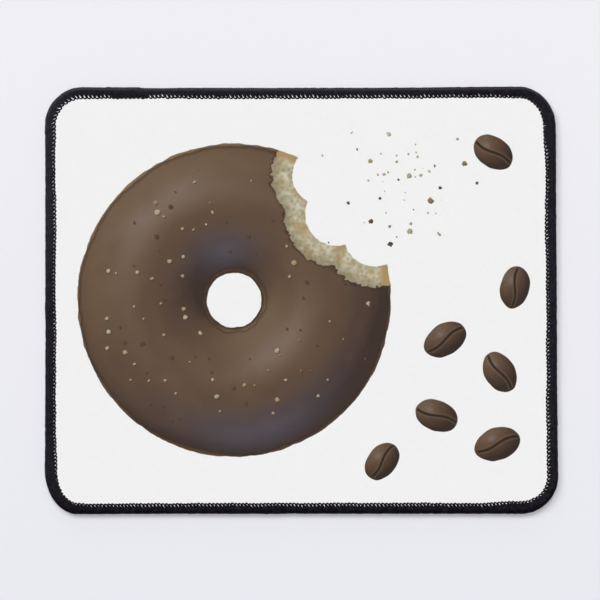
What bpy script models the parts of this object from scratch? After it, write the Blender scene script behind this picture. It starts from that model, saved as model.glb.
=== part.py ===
"""Mouse mat: a foam rubber sheet faced with cloth, overlock-stitched round its whole edge.

Metres, +Z up. The origin is on the table, under the middle of the mat: +X runs along its long side to
the right and +Y away from the user. Run it with: blender --background --python part.py
"""

import math
from collections import namedtuple

import bmesh
import bpy
from mathutils import Vector

MM = 0.001

# Outer edge of the stitching, clockwise from the back left: where two straight sides would meet, how far
# from there the rounding starts on the side before and ends on the side after, and how far the side that
# follows bows inwards at its middle.
Corner = namedtuple("Corner", "place rounded_before rounded_after next_side_bow")
CORNERS = (
    Corner(Vector((-118.05, 98.05)) * MM, 17.9 * MM, 17.3 * MM, 0.48 * MM),
    Corner(Vector((116.90, 98.40)) * MM, 17.1 * MM, 18.9 * MM, 0.12 * MM),
    Corner(Vector((118.15, -98.35)) * MM, 17.6 * MM, 17.4 * MM, 0.15 * MM),
    Corner(Vector((-118.10, -98.45)) * MM, 15.0 * MM, 20.4 * MM, 0.21 * MM),
)
CORNER_STEPS = 10
SIDE_STEPS = 8

# Layers, from the table up.
RUBBER_THICKNESS = 2.3 * MM
CLOTH_THICKNESS = 0.4 * MM
CLEARANCE = 0.3 * MM

# The stitching wraps the rim, which it squeezes thinner from both faces.
STITCH_WIDTH = 4.9 * MM
STITCH_HEIGHT = 3.4 * MM
STITCH_END_HEIGHT = 3.15 * MM
THREAD_ON_SIDE = 0.8 * MM
THREAD_BELOW = 0.55 * MM
THREAD_END = 0.2 * MM
ROUND_STEPS = 12
RIM_DIP = 0.35 * MM
RIM_SLOPE = 1.0 * MM
RIM_SLOPE_BELOW = 0.6 * MM

CLOTH_TOP = RUBBER_THICKNESS + CLEARANCE + CLOTH_THICKNESS
CHANNEL_TOP = CLOTH_TOP - RIM_DIP + CLEARANCE
RIM_EDGE = THREAD_ON_SIDE + CLEARANCE
RIM_INNER = STITCH_WIDTH + CLEARANCE


def clear_scene():
    """Removes every object that the scene starts with."""
    for obj in list(bpy.data.objects):
        bpy.data.objects.remove(obj, do_unlink=True)


def make_material(name, colour, roughness):
    """A plain finish of one colour."""
    material = bpy.data.materials.new(name)
    material.use_nodes = True
    shader = material.node_tree.nodes["Principled BSDF"]
    shader.inputs["Base Color"].default_value = (*colour, 1.0)
    shader.inputs["Roughness"].default_value = roughness
    shader.inputs["Metallic"].default_value = 0.0
    return material


def corner_arc(before, corner, after, inset):
    """The points of one corner, a quarter of an ellipse, clockwise, moved in from the edge by inset."""
    back = (before.place - corner.place).normalized() * corner.rounded_before
    onward = (after.place - corner.place).normalized() * corner.rounded_after
    points = []
    for step in range(CORNER_STEPS + 1):
        angle = math.pi / 2 * step / CORNER_STEPS
        place = corner.place + back * (1 - math.sin(angle)) + onward * (1 - math.cos(angle))
        heading = onward * math.sin(angle) - back * math.cos(angle)
        inwards = Vector((heading.y, -heading.x)).normalized()
        points.append(place + inwards * inset)
    return points


def side_points(start, end, bow):
    """The points between two corners, on a side that bows inwards at its middle."""
    along = end - start
    inwards = Vector((along.y, -along.x)).normalized()
    points = []
    for step in range(1, SIDE_STEPS):
        share = step / SIDE_STEPS
        depth = bow * (1 - abs(2 * share - 1) ** 3)
        points.append(start + along * share + inwards * depth)
    return points


def outline(inset):
    """The mat's edge, clockwise, moved in by inset."""
    before = CORNERS[-1:] + CORNERS[:-1]
    after = CORNERS[1:] + CORNERS[:1]
    arcs = [corner_arc(*corners, inset) for corners in zip(before, CORNERS, after)]
    points = []
    for corner, arc, next_arc in zip(CORNERS, arcs, arcs[1:] + arcs[:1]):
        points += arc
        points += side_points(arc[-1], next_arc[0], corner.next_side_bow)
    return points


def flat_curve(name, points):
    """A closed flat curve through points."""
    curve = bpy.data.curves.new(name, "CURVE")
    curve.dimensions = "2D"
    curve.fill_mode = "NONE"
    spline = curve.splines.new("POLY")
    spline.points.add(len(points) - 1)
    for spot, place in zip(spline.points, points):
        spot.co = (place[0], place[1], 0.0, 1.0)
    spline.use_cyclic_u = True
    return bpy.data.objects.new(name, curve)


def lofted_layer(name, levels):
    """A closed sheet through outlines at (inset, height) levels, from its underside to its face."""
    mesh = bmesh.new()
    rings = []
    for inset, height in levels:
        rings.append([mesh.verts.new((point.x, point.y, height)) for point in outline(inset)])
    mesh.faces.new(rings[0])
    mesh.faces.new(rings[-1])
    for lower, upper in zip(rings, rings[1:]):
        following = zip(lower[1:] + lower[:1], upper[1:] + upper[:1])
        for low, high, (next_low, next_high) in zip(lower, upper, following):
            mesh.faces.new((low, next_low, next_high, high))
    bmesh.ops.recalc_face_normals(mesh, faces=mesh.faces)
    data = bpy.data.meshes.new(name)
    mesh.to_mesh(data)
    mesh.free()
    return bpy.data.objects.new(name, data)


def make_rubber_base():
    """The foam rubber sheet. Its rim is thinner, because the stitching squeezes it."""
    rim_top = RUBBER_THICKNESS - RIM_DIP
    rim_bottom = THREAD_BELOW + CLEARANCE
    return lofted_layer("rubber_base", (
        (RIM_INNER + RIM_SLOPE_BELOW, 0.0),
        (RIM_INNER, rim_bottom),
        (RIM_EDGE, rim_bottom),
        (RIM_EDGE, rim_top),
        (RIM_INNER, rim_top),
        (RIM_INNER + RIM_SLOPE, RUBBER_THICKNESS),
    ))


def make_cloth_top():
    """The cloth face, of one thickness. It dips at its rim to pass under the stitching."""
    underside = CLOTH_TOP - CLOTH_THICKNESS
    return lofted_layer("cloth_top", (
        (RIM_INNER + RIM_SLOPE, underside),
        (RIM_INNER, underside - RIM_DIP),
        (RIM_EDGE, underside - RIM_DIP),
        (RIM_EDGE, CLOTH_TOP - RIM_DIP),
        (RIM_INNER, CLOTH_TOP - RIM_DIP),
        (RIM_INNER + RIM_SLOPE, CLOTH_TOP),
    ))


def stitching_section():
    """The stitching's section as (distance in from the outer edge, height): a C open towards the mat."""
    half_height = STITCH_HEIGHT / 2
    points = [(STITCH_WIDTH, THREAD_BELOW), (STITCH_WIDTH, THREAD_BELOW - THREAD_END)]
    points.append((STITCH_WIDTH - THREAD_END, 0.0))
    for step in range(ROUND_STEPS + 1):
        angle = math.pi * step / ROUND_STEPS
        points.append((half_height * (1 - math.sin(angle)), half_height * (1 - math.cos(angle))))
    points.append((STITCH_WIDTH - THREAD_END, STITCH_END_HEIGHT))
    points.append((STITCH_WIDTH, CHANNEL_TOP))
    points.append((THREAD_ON_SIDE, CHANNEL_TOP))
    points.append((THREAD_ON_SIDE, THREAD_BELOW))
    return points


def make_edge_stitching():
    """The band of thread round the edge: its section swept along the outline."""
    section = flat_curve("stitching_section", stitching_section())
    path = flat_curve("stitching_path", outline(0.0))
    for helper in (section, path):
        bpy.context.scene.collection.objects.link(helper)
    path.data.bevel_mode = "OBJECT"
    path.data.bevel_object = section
    evaluated = path.evaluated_get(bpy.context.evaluated_depsgraph_get())
    data = bpy.data.meshes.new_from_object(evaluated)
    for helper in (path, section):
        bpy.data.objects.remove(helper, do_unlink=True)
    data.name = "edge_stitching"
    return bpy.data.objects.new("edge_stitching", data)


def main():
    clear_scene()
    collection = bpy.data.collections.new("mouse_mat")
    bpy.context.scene.collection.children.link(collection)
    parts = (
        (make_rubber_base(), make_material("black_foam_rubber", (0.018, 0.018, 0.020), 0.85)),
        (make_cloth_top(), make_material("white_cloth", (0.87, 0.87, 0.86), 0.80)),
        (make_edge_stitching(), make_material("black_thread", (0.016, 0.015, 0.019), 0.60)),
    )
    for obj, material in parts:
        obj.data.materials.clear()
        obj.data.materials.append(material)
        collection.objects.link(obj)


main()
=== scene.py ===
"""Looks of a printed mouse mat: cloth face, foam rubber base and overlock-stitched edge.

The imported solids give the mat's size and place. This script dresses them: the cloth as one fine sheet with
its print and knit, the rubber with its moulded grip, and the seam as separate loops of thread. Lengths on
the mat are in millimetres, and meshes are in metres.
"""

import logging
import math
from dataclasses import dataclass, field
from enum import Enum

import bpy
import numpy as np
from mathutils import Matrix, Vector
from mathutils.geometry import delaunay_2d_cdt


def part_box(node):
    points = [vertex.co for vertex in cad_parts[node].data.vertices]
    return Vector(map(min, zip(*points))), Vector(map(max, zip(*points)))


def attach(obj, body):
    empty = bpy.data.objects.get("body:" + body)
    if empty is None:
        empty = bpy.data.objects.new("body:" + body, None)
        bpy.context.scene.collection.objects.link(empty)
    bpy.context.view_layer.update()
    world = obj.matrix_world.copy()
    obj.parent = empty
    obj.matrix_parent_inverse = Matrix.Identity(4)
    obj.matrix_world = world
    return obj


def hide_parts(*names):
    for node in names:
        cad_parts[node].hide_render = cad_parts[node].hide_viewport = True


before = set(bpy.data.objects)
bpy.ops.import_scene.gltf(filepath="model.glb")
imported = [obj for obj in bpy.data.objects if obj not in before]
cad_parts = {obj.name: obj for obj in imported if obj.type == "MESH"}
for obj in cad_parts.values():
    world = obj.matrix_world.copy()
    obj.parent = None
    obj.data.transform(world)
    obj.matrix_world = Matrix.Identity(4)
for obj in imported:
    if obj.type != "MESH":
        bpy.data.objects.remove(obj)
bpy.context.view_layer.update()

MM = 0.001
BODY = "root"
BAKE_MAP = "OFBake"
RUN_MAP = "ThreadRun"
ORIGIN = (0.0, 0.0, 0.0)
LOG = logging.getLogger("mouse_mat")


def srgb(red: int, green: int, blue: int) -> tuple[float, float, float, float]:
    """Turns a colour given as 0 to 255 sRGB values into linear RGBA.

    Args:
        red: Red value.
        green: Green value.
        blue: Blue value.

    Returns:
        The linear colour with an alpha of 1.
    """
    channels = []
    for value in (red, green, blue):
        share = value / 255
        channels.append(share / 12.92 if share <= 0.04045 else ((share + 0.055) / 1.055) ** 2.4)
    return (*channels, 1.0)


def smooth(low: float, high: float, value: np.ndarray) -> np.ndarray:
    """Eases from 0 at low to 1 at high."""
    share = np.clip((value - low) / (high - low), 0.0, 1.0)
    return share * share * (3.0 - 2.0 * share)


def between(ends: tuple, share: "np.ndarray | Value") -> "np.ndarray | Value":
    """Goes from the first of two values to the second, by a share."""
    first, second = ends
    return share * (second - first) + first


def unit(vectors: np.ndarray) -> np.ndarray:
    """Vectors of length 1 in the directions of these."""
    return vectors / np.linalg.norm(vectors, axis=-1, keepdims=True)


class Side(Enum):
    """The mat's four sides, in the order in which the seam runs."""

    BACK = 0
    RIGHT = 1
    FRONT = 2
    LEFT = 3


# ------------------------------------------------------------
# The mat's edge
# ------------------------------------------------------------


@dataclass(frozen=True)
class Corner:
    """One rounded corner of the mat's outer edge.

    Attributes:
        x: Where the two straight sides would meet.
        y: Where the two straight sides would meet.
        rounded_before: How far from there the rounding starts, on the side before.
        rounded_after: How far from there it ends, on the side after.
        next_bow: How far the side that follows bows inwards at its middle.
    """

    x: float
    y: float
    rounded_before: float
    rounded_after: float
    next_bow: float


@dataclass
class Edge:
    """The mat's outer edge, followed clockwise from the back left corner.

    Attributes:
        corners: The four corners, clockwise from the back left.
        seam_inset: Inset of the line along which the stitches are counted.
        corner_steps: Samples on each corner.
        side_steps: Samples on each side.
        places: The samples' x and y.
        inwards: Directions that point inwards from them.
        along: How far along the seam line each of them is.
        side_starts: Where on the seam line each side starts, at the middle of its corner.
    """

    corners: tuple[Corner, ...] = (
        Corner(-118.05, 98.05, 17.9, 17.3, 0.48),
        Corner(116.90, 98.40, 17.1, 18.9, 0.12),
        Corner(118.15, -98.35, 17.6, 17.4, 0.15),
        Corner(-118.10, -98.45, 15.0, 20.4, 0.21),
    )
    seam_inset: float = 4.3
    corner_steps: int = 60
    side_steps: int = 120
    places: np.ndarray = field(init=False)
    inwards: np.ndarray = field(init=False)
    along: np.ndarray = field(init=False)
    side_starts: list[float] = field(init=False)

    def __post_init__(self) -> None:
        """Samples the edge and measures it along the seam line."""
        corners = [self._rounding(number) for number in range(len(self.corners))]
        places = []
        normals = []
        for number, (rounding, inwards) in enumerate(corners):
            following = corners[(number + 1) % len(corners)][0]
            side, side_inwards = self._side(rounding[-1], following[0], self.corners[number].next_bow)
            places.extend([*rounding, *side])
            normals.extend([*inwards, *side_inwards])
        self.places = np.array(places + places[:1])
        self.inwards = np.array(normals + normals[:1])
        seam = self.places + self.inwards * self.seam_inset
        steps = np.linalg.norm(np.diff(seam, axis=0), axis=1)
        self.along = np.concatenate([[0.0], np.cumsum(steps)])
        samples = self.corner_steps + self.side_steps
        self.side_starts = [float(start) for start in self.along[self.corner_steps // 2 : -1 : samples]]

    def _rounding(self, number: int) -> tuple[np.ndarray, np.ndarray]:
        """Samples one corner, a quarter of an ellipse.

        Args:
            number: Which corner.

        Returns:
            Its points, and the directions that point inwards from them.
        """
        here = self.corners[number]
        before = self.corners[number - 1]
        after = self.corners[(number + 1) % len(self.corners)]
        corner = np.array([here.x, here.y])
        back = np.array([before.x, before.y]) - corner
        onward = np.array([after.x, after.y]) - corner
        back *= here.rounded_before / np.hypot(*back)
        onward *= here.rounded_after / np.hypot(*onward)
        angle = np.linspace(0.0, math.pi / 2, self.corner_steps + 1)[:, None]
        points = corner + back * (1 - np.sin(angle)) + onward * (1 - np.cos(angle))
        return points, self._right_of(onward * np.sin(angle) - back * np.cos(angle))

    def _side(self, begin: np.ndarray, end: np.ndarray, bow: float) -> tuple[np.ndarray, np.ndarray]:
        """Samples the side between two corners.

        Args:
            begin: Where it starts.
            end: Where it ends.
            bow: How far it bows inwards at its middle.

        Returns:
            Its points, and the directions that point inwards from them.
        """
        run = end - begin
        normal = self._right_of(run)
        share = np.arange(1, self.side_steps)[:, None] / self.side_steps
        from_middle = 2 * share - 1
        points = begin + run * share + normal * bow * (1 - np.abs(from_middle) ** 3)
        heading = run - normal * bow * 6 * np.abs(from_middle) * from_middle
        return points, self._right_of(heading)

    @staticmethod
    def _right_of(heading: np.ndarray) -> np.ndarray:
        """Unit vectors to the right of these headings."""
        return unit(np.stack([heading[..., 1], -heading[..., 0]], axis=-1))

    @property
    def length(self) -> float:
        """Length of the seam line, all round."""
        return float(self.along[-1])

    def place(self, along: np.ndarray, inset: np.ndarray) -> np.ndarray:
        """Finds points on the mat.

        Args:
            along: How far along the seam line, clockwise.
            inset: How far in from the outer edge.

        Returns:
            The points' x and y, in a last axis of 2.
        """
        wrapped = np.mod(along, self.length)
        x = np.interp(wrapped, self.along, self.places[:, 0])
        y = np.interp(wrapped, self.along, self.places[:, 1])
        normal_x = np.interp(wrapped, self.along, self.inwards[:, 0])
        normal_y = np.interp(wrapped, self.along, self.inwards[:, 1])
        return np.stack([x + normal_x * inset, y + normal_y * inset], axis=-1)

    def side_of(self, along: float) -> Side:
        """The side that this place on the seam belongs to.

        Args:
            along: How far along the seam line, clockwise.

        Returns:
            The side.
        """
        wrapped = along % self.length
        passed = sum(wrapped >= start for start in self.side_starts)
        return Side((passed - 1) % len(self.side_starts))


# ------------------------------------------------------------
# Shader building
# ------------------------------------------------------------


class Value:
    """A number, vector or colour in a shader tree. Its operators add the nodes that work it out."""

    def __init__(self, wiring: "Wiring", socket: bpy.types.NodeSocket) -> None:
        """Takes the tree's wiring and the socket that gives the value."""
        self.wiring = wiring
        self.socket = socket

    def math(self, operation: str, *others: "Feed") -> "Value":
        """Result of a Math or Vector Math node that takes this value first."""
        return self.wiring.math(operation, self, *others)

    def __add__(self, other: "Feed") -> "Value":
        """This plus another."""
        return self.math("ADD", other)

    def __sub__(self, other: "Feed") -> "Value":
        """This less another."""
        return self.math("SUBTRACT", other)

    def __rsub__(self, other: "Feed") -> "Value":
        """Another less this."""
        return self.wiring.math("SUBTRACT", other, self)

    def __mul__(self, other: "Feed") -> "Value":
        """This times another."""
        return self.math("MULTIPLY", other)

    def __truediv__(self, other: "Feed") -> "Value":
        """This divided by another."""
        return self.math("DIVIDE", other)

    def __rtruediv__(self, other: "Feed") -> "Value":
        """Another divided by this."""
        return self.wiring.math("DIVIDE", other, self)

    def __pow__(self, power: "Feed") -> "Value":
        """This to a power."""
        return self.math("POWER", power)

    def gloss(self, power: float) -> "Value":
        """This to a power that makes a highlight narrow, and 0 where this is below 0."""
        return self.math("MAXIMUM", 0.0) ** power

    def step(self, low: "Feed", high: "Feed") -> "Value":
        """Eases from 0 where this is at low to 1 where it is at high."""
        feeds = {"Value": self, "From Min": low, "From Max": high}
        return self.wiring.node("ShaderNodeMapRange", feeds, interpolation_type="SMOOTHSTEP")["Result"]

    def fade(self, low: "Feed", high: "Feed") -> "Value":
        """Eases from 1 where this is at low to 0 where it is at high."""
        return 1.0 - self.step(low, high)

    def past(self, edge: "Feed", soft: float) -> "Value":
        """Passes from 0 to 1 at an edge that is soft on both its sides."""
        return self.step(edge - soft, edge + soft)

    def before(self, edge: "Feed", soft: float) -> "Value":
        """Passes from 1 to 0 at an edge that is soft on both its sides."""
        return self.fade(edge - soft, edge + soft)

    def parts(self) -> tuple["Value", ...]:
        """The three numbers of this vector."""
        return tuple(self.wiring.node("ShaderNodeSeparateXYZ", {0: self}).values())

    def turned(self, angle: "Feed") -> "Value":
        """This vector turned about the vertical."""
        feeds = {"Vector": self, "Angle": angle}
        return self.wiring.node("ShaderNodeVectorRotate", feeds, rotation_type="Z_AXIS")["Vector"]


Feed = Value | float | tuple


class Wiring:
    """Adds nodes to one shader tree and joins them."""

    NUMBER_RESULTS = ("DOT_PRODUCT", "LENGTH", "DISTANCE")

    def __init__(self, tree: bpy.types.NodeTree) -> None:
        """Starts with the tree that takes the nodes."""
        self.tree = tree

    def add(self, kind: str, **settings: object) -> bpy.types.Node:
        """Adds a node and sets its own settings.

        Args:
            kind: The node's type.
            settings: Its settings by name.

        Returns:
            The node.
        """
        node = self.tree.nodes.new(kind)
        for name, value in settings.items():
            setattr(node, name, value)
        return node

    def feed(self, socket: bpy.types.NodeSocket, value: Feed) -> None:
        """Joins a socket to a value's, or gives it a plain value.

        Args:
            socket: The input to feed.
            value: What it gets.
        """
        if isinstance(value, Value):
            self.tree.links.new(value.socket, socket)
        else:
            socket.default_value = value

    def outputs(self, node: bpy.types.Node) -> dict[str, Value]:
        """A node's outputs by name."""
        return {socket.name: Value(self, socket) for socket in node.outputs}

    def node(self, kind: str, feeds: dict | None = None, **settings: object) -> dict[str, Value]:
        """Adds a node and feeds it.

        Args:
            kind: The node's type.
            feeds: What each input gets, by the input's name or number.
            settings: The node's own settings.

        Returns:
            The node's outputs by name.
        """
        node = self.add(kind, **settings)
        for name, value in (feeds or {}).items():
            self.feed(node.inputs[name], value)
        return self.outputs(node)

    def math(self, operation: str, *values: Feed) -> Value:
        """Result of a Math node, or of a Vector Math node where one of the values is a vector.

        Args:
            operation: The node's operation.
            values: What its inputs get, in order.

        Returns:
            The result.
        """
        numbers = [self._is_number(value) for value in values]
        feeds = dict(enumerate(values))
        if all(numbers):
            return self.node("ShaderNodeMath", feeds, operation=operation)["Value"]
        if operation == "MULTIPLY" and numbers[1]:
            operation = "SCALE"
            feeds = {0: values[0], "Scale": values[1]}
        results = self.node("ShaderNodeVectorMath", feeds, operation=operation)
        return results["Value" if operation in self.NUMBER_RESULTS else "Vector"]

    @staticmethod
    def _is_number(value: Feed) -> bool:
        """Whether a value is one number, and no vector or colour."""
        return value.socket.type == "VALUE" if isinstance(value, Value) else isinstance(value, float)

    def vector(self, x: Feed, y: Feed, z: Feed) -> Value:
        """A vector from three numbers."""
        return self.node("ShaderNodeCombineXYZ", {0: x, 1: y, 2: z})["Vector"]

    def noise(self, place: Value, scale: float, detail: float = 2.0) -> Value:
        """Smooth noise, from -0.5 to 0.5."""
        feeds = {"Vector": place, "Scale": scale, "Detail": detail}
        return self.node("ShaderNodeTexNoise", feeds, noise_dimensions="3D")["Fac"] - 0.5

    def blend(self, share: Feed, first: Feed, second: Feed) -> Value:
        """Mixes two colours, by the share of the second.

        Args:
            share: Share of the second colour, held between 0 and 1.
            first: The first colour.
            second: The second colour.

        Returns:
            The mixed colour.
        """
        node = self.add("ShaderNodeMix", data_type="RGBA", clamp_factor=True)
        colours = [socket for socket in node.inputs if socket.type == "RGBA"]
        for socket, value in zip((node.inputs["Factor"], *colours), (share, first, second)):
            self.feed(socket, value)
        return next(Value(self, socket) for socket in node.outputs if socket.type == "RGBA")

    def ramp(self, value: Value, stops: tuple[tuple[float, tuple], ...]) -> Value:
        """A colour that follows a value through stops.

        Args:
            value: The value.
            stops: Pairs of a value and the colour there, in rising order.

        Returns:
            The colour.
        """
        node = self.add("ShaderNodeValToRGB")
        self.feed(node.inputs[0], value)
        elements = node.color_ramp.elements
        elements[0].position, elements[0].color = stops[0]
        elements[1].position, elements[1].color = stops[-1]
        for place, colour in stops[1:-1]:
            elements.new(place).color = colour
        return self.outputs(node)["Color"]

    def bump(self, height: Value, depth: float) -> Value:
        """A normal raised by a height, whose full swing is depth millimetres."""
        feeds = {"Strength": 1.0, "Distance": depth * MM, "Height": height}
        return self.node("ShaderNodeBump", feeds)["Normal"]

    def effect(self, effect: type["Effect"], **feeds: Feed) -> dict[str, Value]:
        """Places an effect, feeds its inputs and returns its outputs by name."""
        return self.node("ShaderNodeGroup", feeds, node_tree=effect.tree())

    def paint(self, under: Feed, effect: type["Effect"], **feeds: Feed) -> Value:
        """Lays an effect's colour over another, where the effect's mask is."""
        placed = self.effect(effect, **feeds)
        return self.blend(placed["Mask"], under, placed["Colour"])


class Effect:
    """A shader node group, built once and used wherever it is placed.

    INPUTS gives each input's value when nothing feeds it, and OUTPUTS each output's kind.
    """

    NAME = "effect"
    INPUTS: dict[str, Feed] = {}
    OUTPUTS: dict[str, str] = {}

    @classmethod
    def tree(cls) -> bpy.types.NodeTree:
        """Returns the group, and builds it the first time.

        Returns:
            The group's tree.
        """
        if cls.NAME in bpy.data.node_groups:
            return bpy.data.node_groups[cls.NAME]
        tree = bpy.data.node_groups.new(cls.NAME, "ShaderNodeTree")
        for name, value in cls.INPUTS.items():
            kind = "NodeSocketFloat" if isinstance(value, float) else "NodeSocketVector"
            tree.interface.new_socket(name, in_out="INPUT", socket_type=kind).default_value = value
        for name, kind in cls.OUTPUTS.items():
            tree.interface.new_socket(name, in_out="OUTPUT", socket_type=f"NodeSocket{kind}")
        wiring = Wiring(tree)
        given = wiring.add("NodeGroupOutput").inputs
        for name, value in cls.fill(wiring, wiring.node("NodeGroupInput")).items():
            wiring.feed(given[name], value)
        return tree

    @classmethod
    def fill(cls, wiring: Wiring, taken: dict[str, Value]) -> dict[str, Value]:
        """Works the group's outputs out from its inputs.

        Args:
            wiring: The group's wiring.
            taken: The group's inputs by name.

        Returns:
            The group's outputs by name.
        """
        raise NotImplementedError


class Mottle(Effect):
    """Uneven tone, such as dye, dust or compound that never lies quite alike."""

    NAME = "mottle"
    INPUTS = {"Place": ORIGIN, "Size": 10.0, "Amount": 0.1}
    OUTPUTS = {"Tone": "Float"}

    @classmethod
    def fill(cls, wiring: Wiring, taken: dict[str, Value]) -> dict[str, Value]:
        """Noise of the asked size, centred on a tone of 1."""
        swing = wiring.noise(taken["Place"] * (1.0 / taken["Size"]), 1.0, 3.0)
        return {"Tone": swing * taken["Amount"] + 1.0}


class Pattern(Effect):
    """A fine pattern of columns and rows, of which none is quite straight."""

    INPUTS = {"Place": ORIGIN, "Across": 0.6, "Down": 0.45, "Wander": 0.1}
    OUTPUTS = {"Height": "Float"}
    BEND_SCALE = 0.9

    @classmethod
    def counted(cls, wiring: Wiring, taken: dict[str, Value]) -> tuple[Value, Value]:
        """How many columns and rows lie before a place.

        Args:
            wiring: The group's wiring.
            taken: The group's inputs by name.

        Returns:
            The two counts, which go on within a column and a row.
        """
        bend = wiring.noise(taken["Place"], cls.BEND_SCALE, 1.0) * taken["Wander"]
        x, y, _ = taken["Place"].parts()
        return (x + bend) / taken["Across"], (y + bend) / taken["Down"]

    @staticmethod
    def wave(turns: Value) -> Value:
        """Sine wave, once up and down in each turn."""
        return (turns * (2 * math.pi)).math("SINE")


class Ribs(Pattern):
    """Moulded grip pattern: fine crossed ribs."""

    NAME = "ribs"

    @classmethod
    def fill(cls, wiring: Wiring, taken: dict[str, Value]) -> dict[str, Value]:
        """The product of two sine waves, from 0 to 1."""
        column, row = cls.counted(wiring, taken)
        return {"Height": cls.wave(column) * cls.wave(row) * 0.5 + 0.5}


class Knit(Pattern):
    """Jersey knit: columns of stitches that each show as a small V."""

    NAME = "knit"
    SLANT = 0.5
    SHARPNESS = 4.0

    @classmethod
    def fill(cls, wiring: Wiring, taken: dict[str, Value]) -> dict[str, Value]:
        """Slants each stitch's legs away from its column's middle and sinks the lines between columns.

        Args:
            wiring: The group's wiring.
            taken: The group's inputs by name.

        Returns:
            The group's outputs by name.
        """
        column, row = cls.counted(wiring, taken)
        aside = column.math("PINGPONG", 0.5) * 2.0
        legs = cls.wave(aside * cls.SLANT + row) * 0.5 + 0.5
        return {"Height": legs * (1.0 - aside**cls.SHARPNESS)}


# ------------------------------------------------------------
# The print: an iced ring with a bite, coffee beans and crumbs
# ------------------------------------------------------------

PAINTED_LIGHT = Vector((-0.48, 0.58, 0.66)).normalized()
PAINTED_GLINT = (PAINTED_LIGHT + Vector((0.0, 0.0, 1.0))).normalized()
PAINTED_SHEEN = Vector((0.12, -0.62, 0.78)).normalized()


def painted_slope(tilt: Value, light: Value) -> Value:
    """How far a painted rounded form faces a painted light.

    Args:
        tilt: Flat vector that points outwards from the form's ridge, of length 1 at its rim.
        light: Direction of the light.

    Returns:
        The cosine of the angle between the form's surface and the light.
    """
    rise = (1.0 - tilt.math("DOT_PRODUCT", tilt)).math("MAXIMUM", 0.0).math("SQRT")
    _, _, up = light.parts()
    return rise * up + tilt.math("DOT_PRODUCT", light)


class Crumbs(Effect):
    """Loose crumbs, one here and there in a jittered grid. Their sizes are shares of its spacing."""

    NAME = "crumbs"
    INPUTS = {"Place": ORIGIN, "Spacing": 9.0, "Fill": 0.4}
    OUTPUTS = {"Colour": "Color", "Mask": "Float"}

    SMALLEST = 0.055
    SIZE_RANGE = 0.13
    RAGGED = 0.20
    RAGGED_SCALE = 1.1
    EDGE = 0.015
    LIT_FROM, LIT_TO = -0.9, 0.3
    DARK = srgb(46, 36, 30)
    KINDS = (
        (0.00, srgb(74, 56, 45)),
        (0.36, srgb(94, 73, 56)),
        (0.42, srgb(166, 146, 108)),
        (0.70, srgb(172, 163, 132)),
        (1.00, srgb(188, 180, 154)),
    )

    @classmethod
    def fill(cls, wiring: Wiring, taken: dict[str, Value]) -> dict[str, Value]:
        """Draws a ragged spot round each chosen cell's point and shades it from the painted light.

        Args:
            wiring: The group's wiring.
            taken: The group's inputs by name.

        Returns:
            The group's outputs by name.
        """
        place = taken["Place"] * (1.0 / taken["Spacing"])
        feeds = {"Vector": place, "Scale": 1.0}
        cell = wiring.node("ShaderNodeTexVoronoi", feeds, voronoi_dimensions="2D", feature="F1")
        draw, kind, chosen = cell["Color"].parts()
        size = draw**2.0 * cls.SIZE_RANGE + cls.SMALLEST
        reach = wiring.noise(taken["Place"], cls.RAGGED_SCALE) * cls.RAGGED + cell["Distance"]
        light = wiring.vector(*PAINTED_LIGHT)
        lit = (place - cell["Position"]).math("DOT_PRODUCT", light) / size
        colour = wiring.ramp(kind, cls.KINDS)
        shaded = wiring.blend(0.5, colour, cls.DARK)
        colour = wiring.blend(lit.step(cls.LIT_FROM, cls.LIT_TO), shaded, colour)
        kept = chosen.math("LESS_THAN", taken["Fill"])
        return {"Colour": colour, "Mask": reach.before(size, cls.EDGE) * kept}


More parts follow.
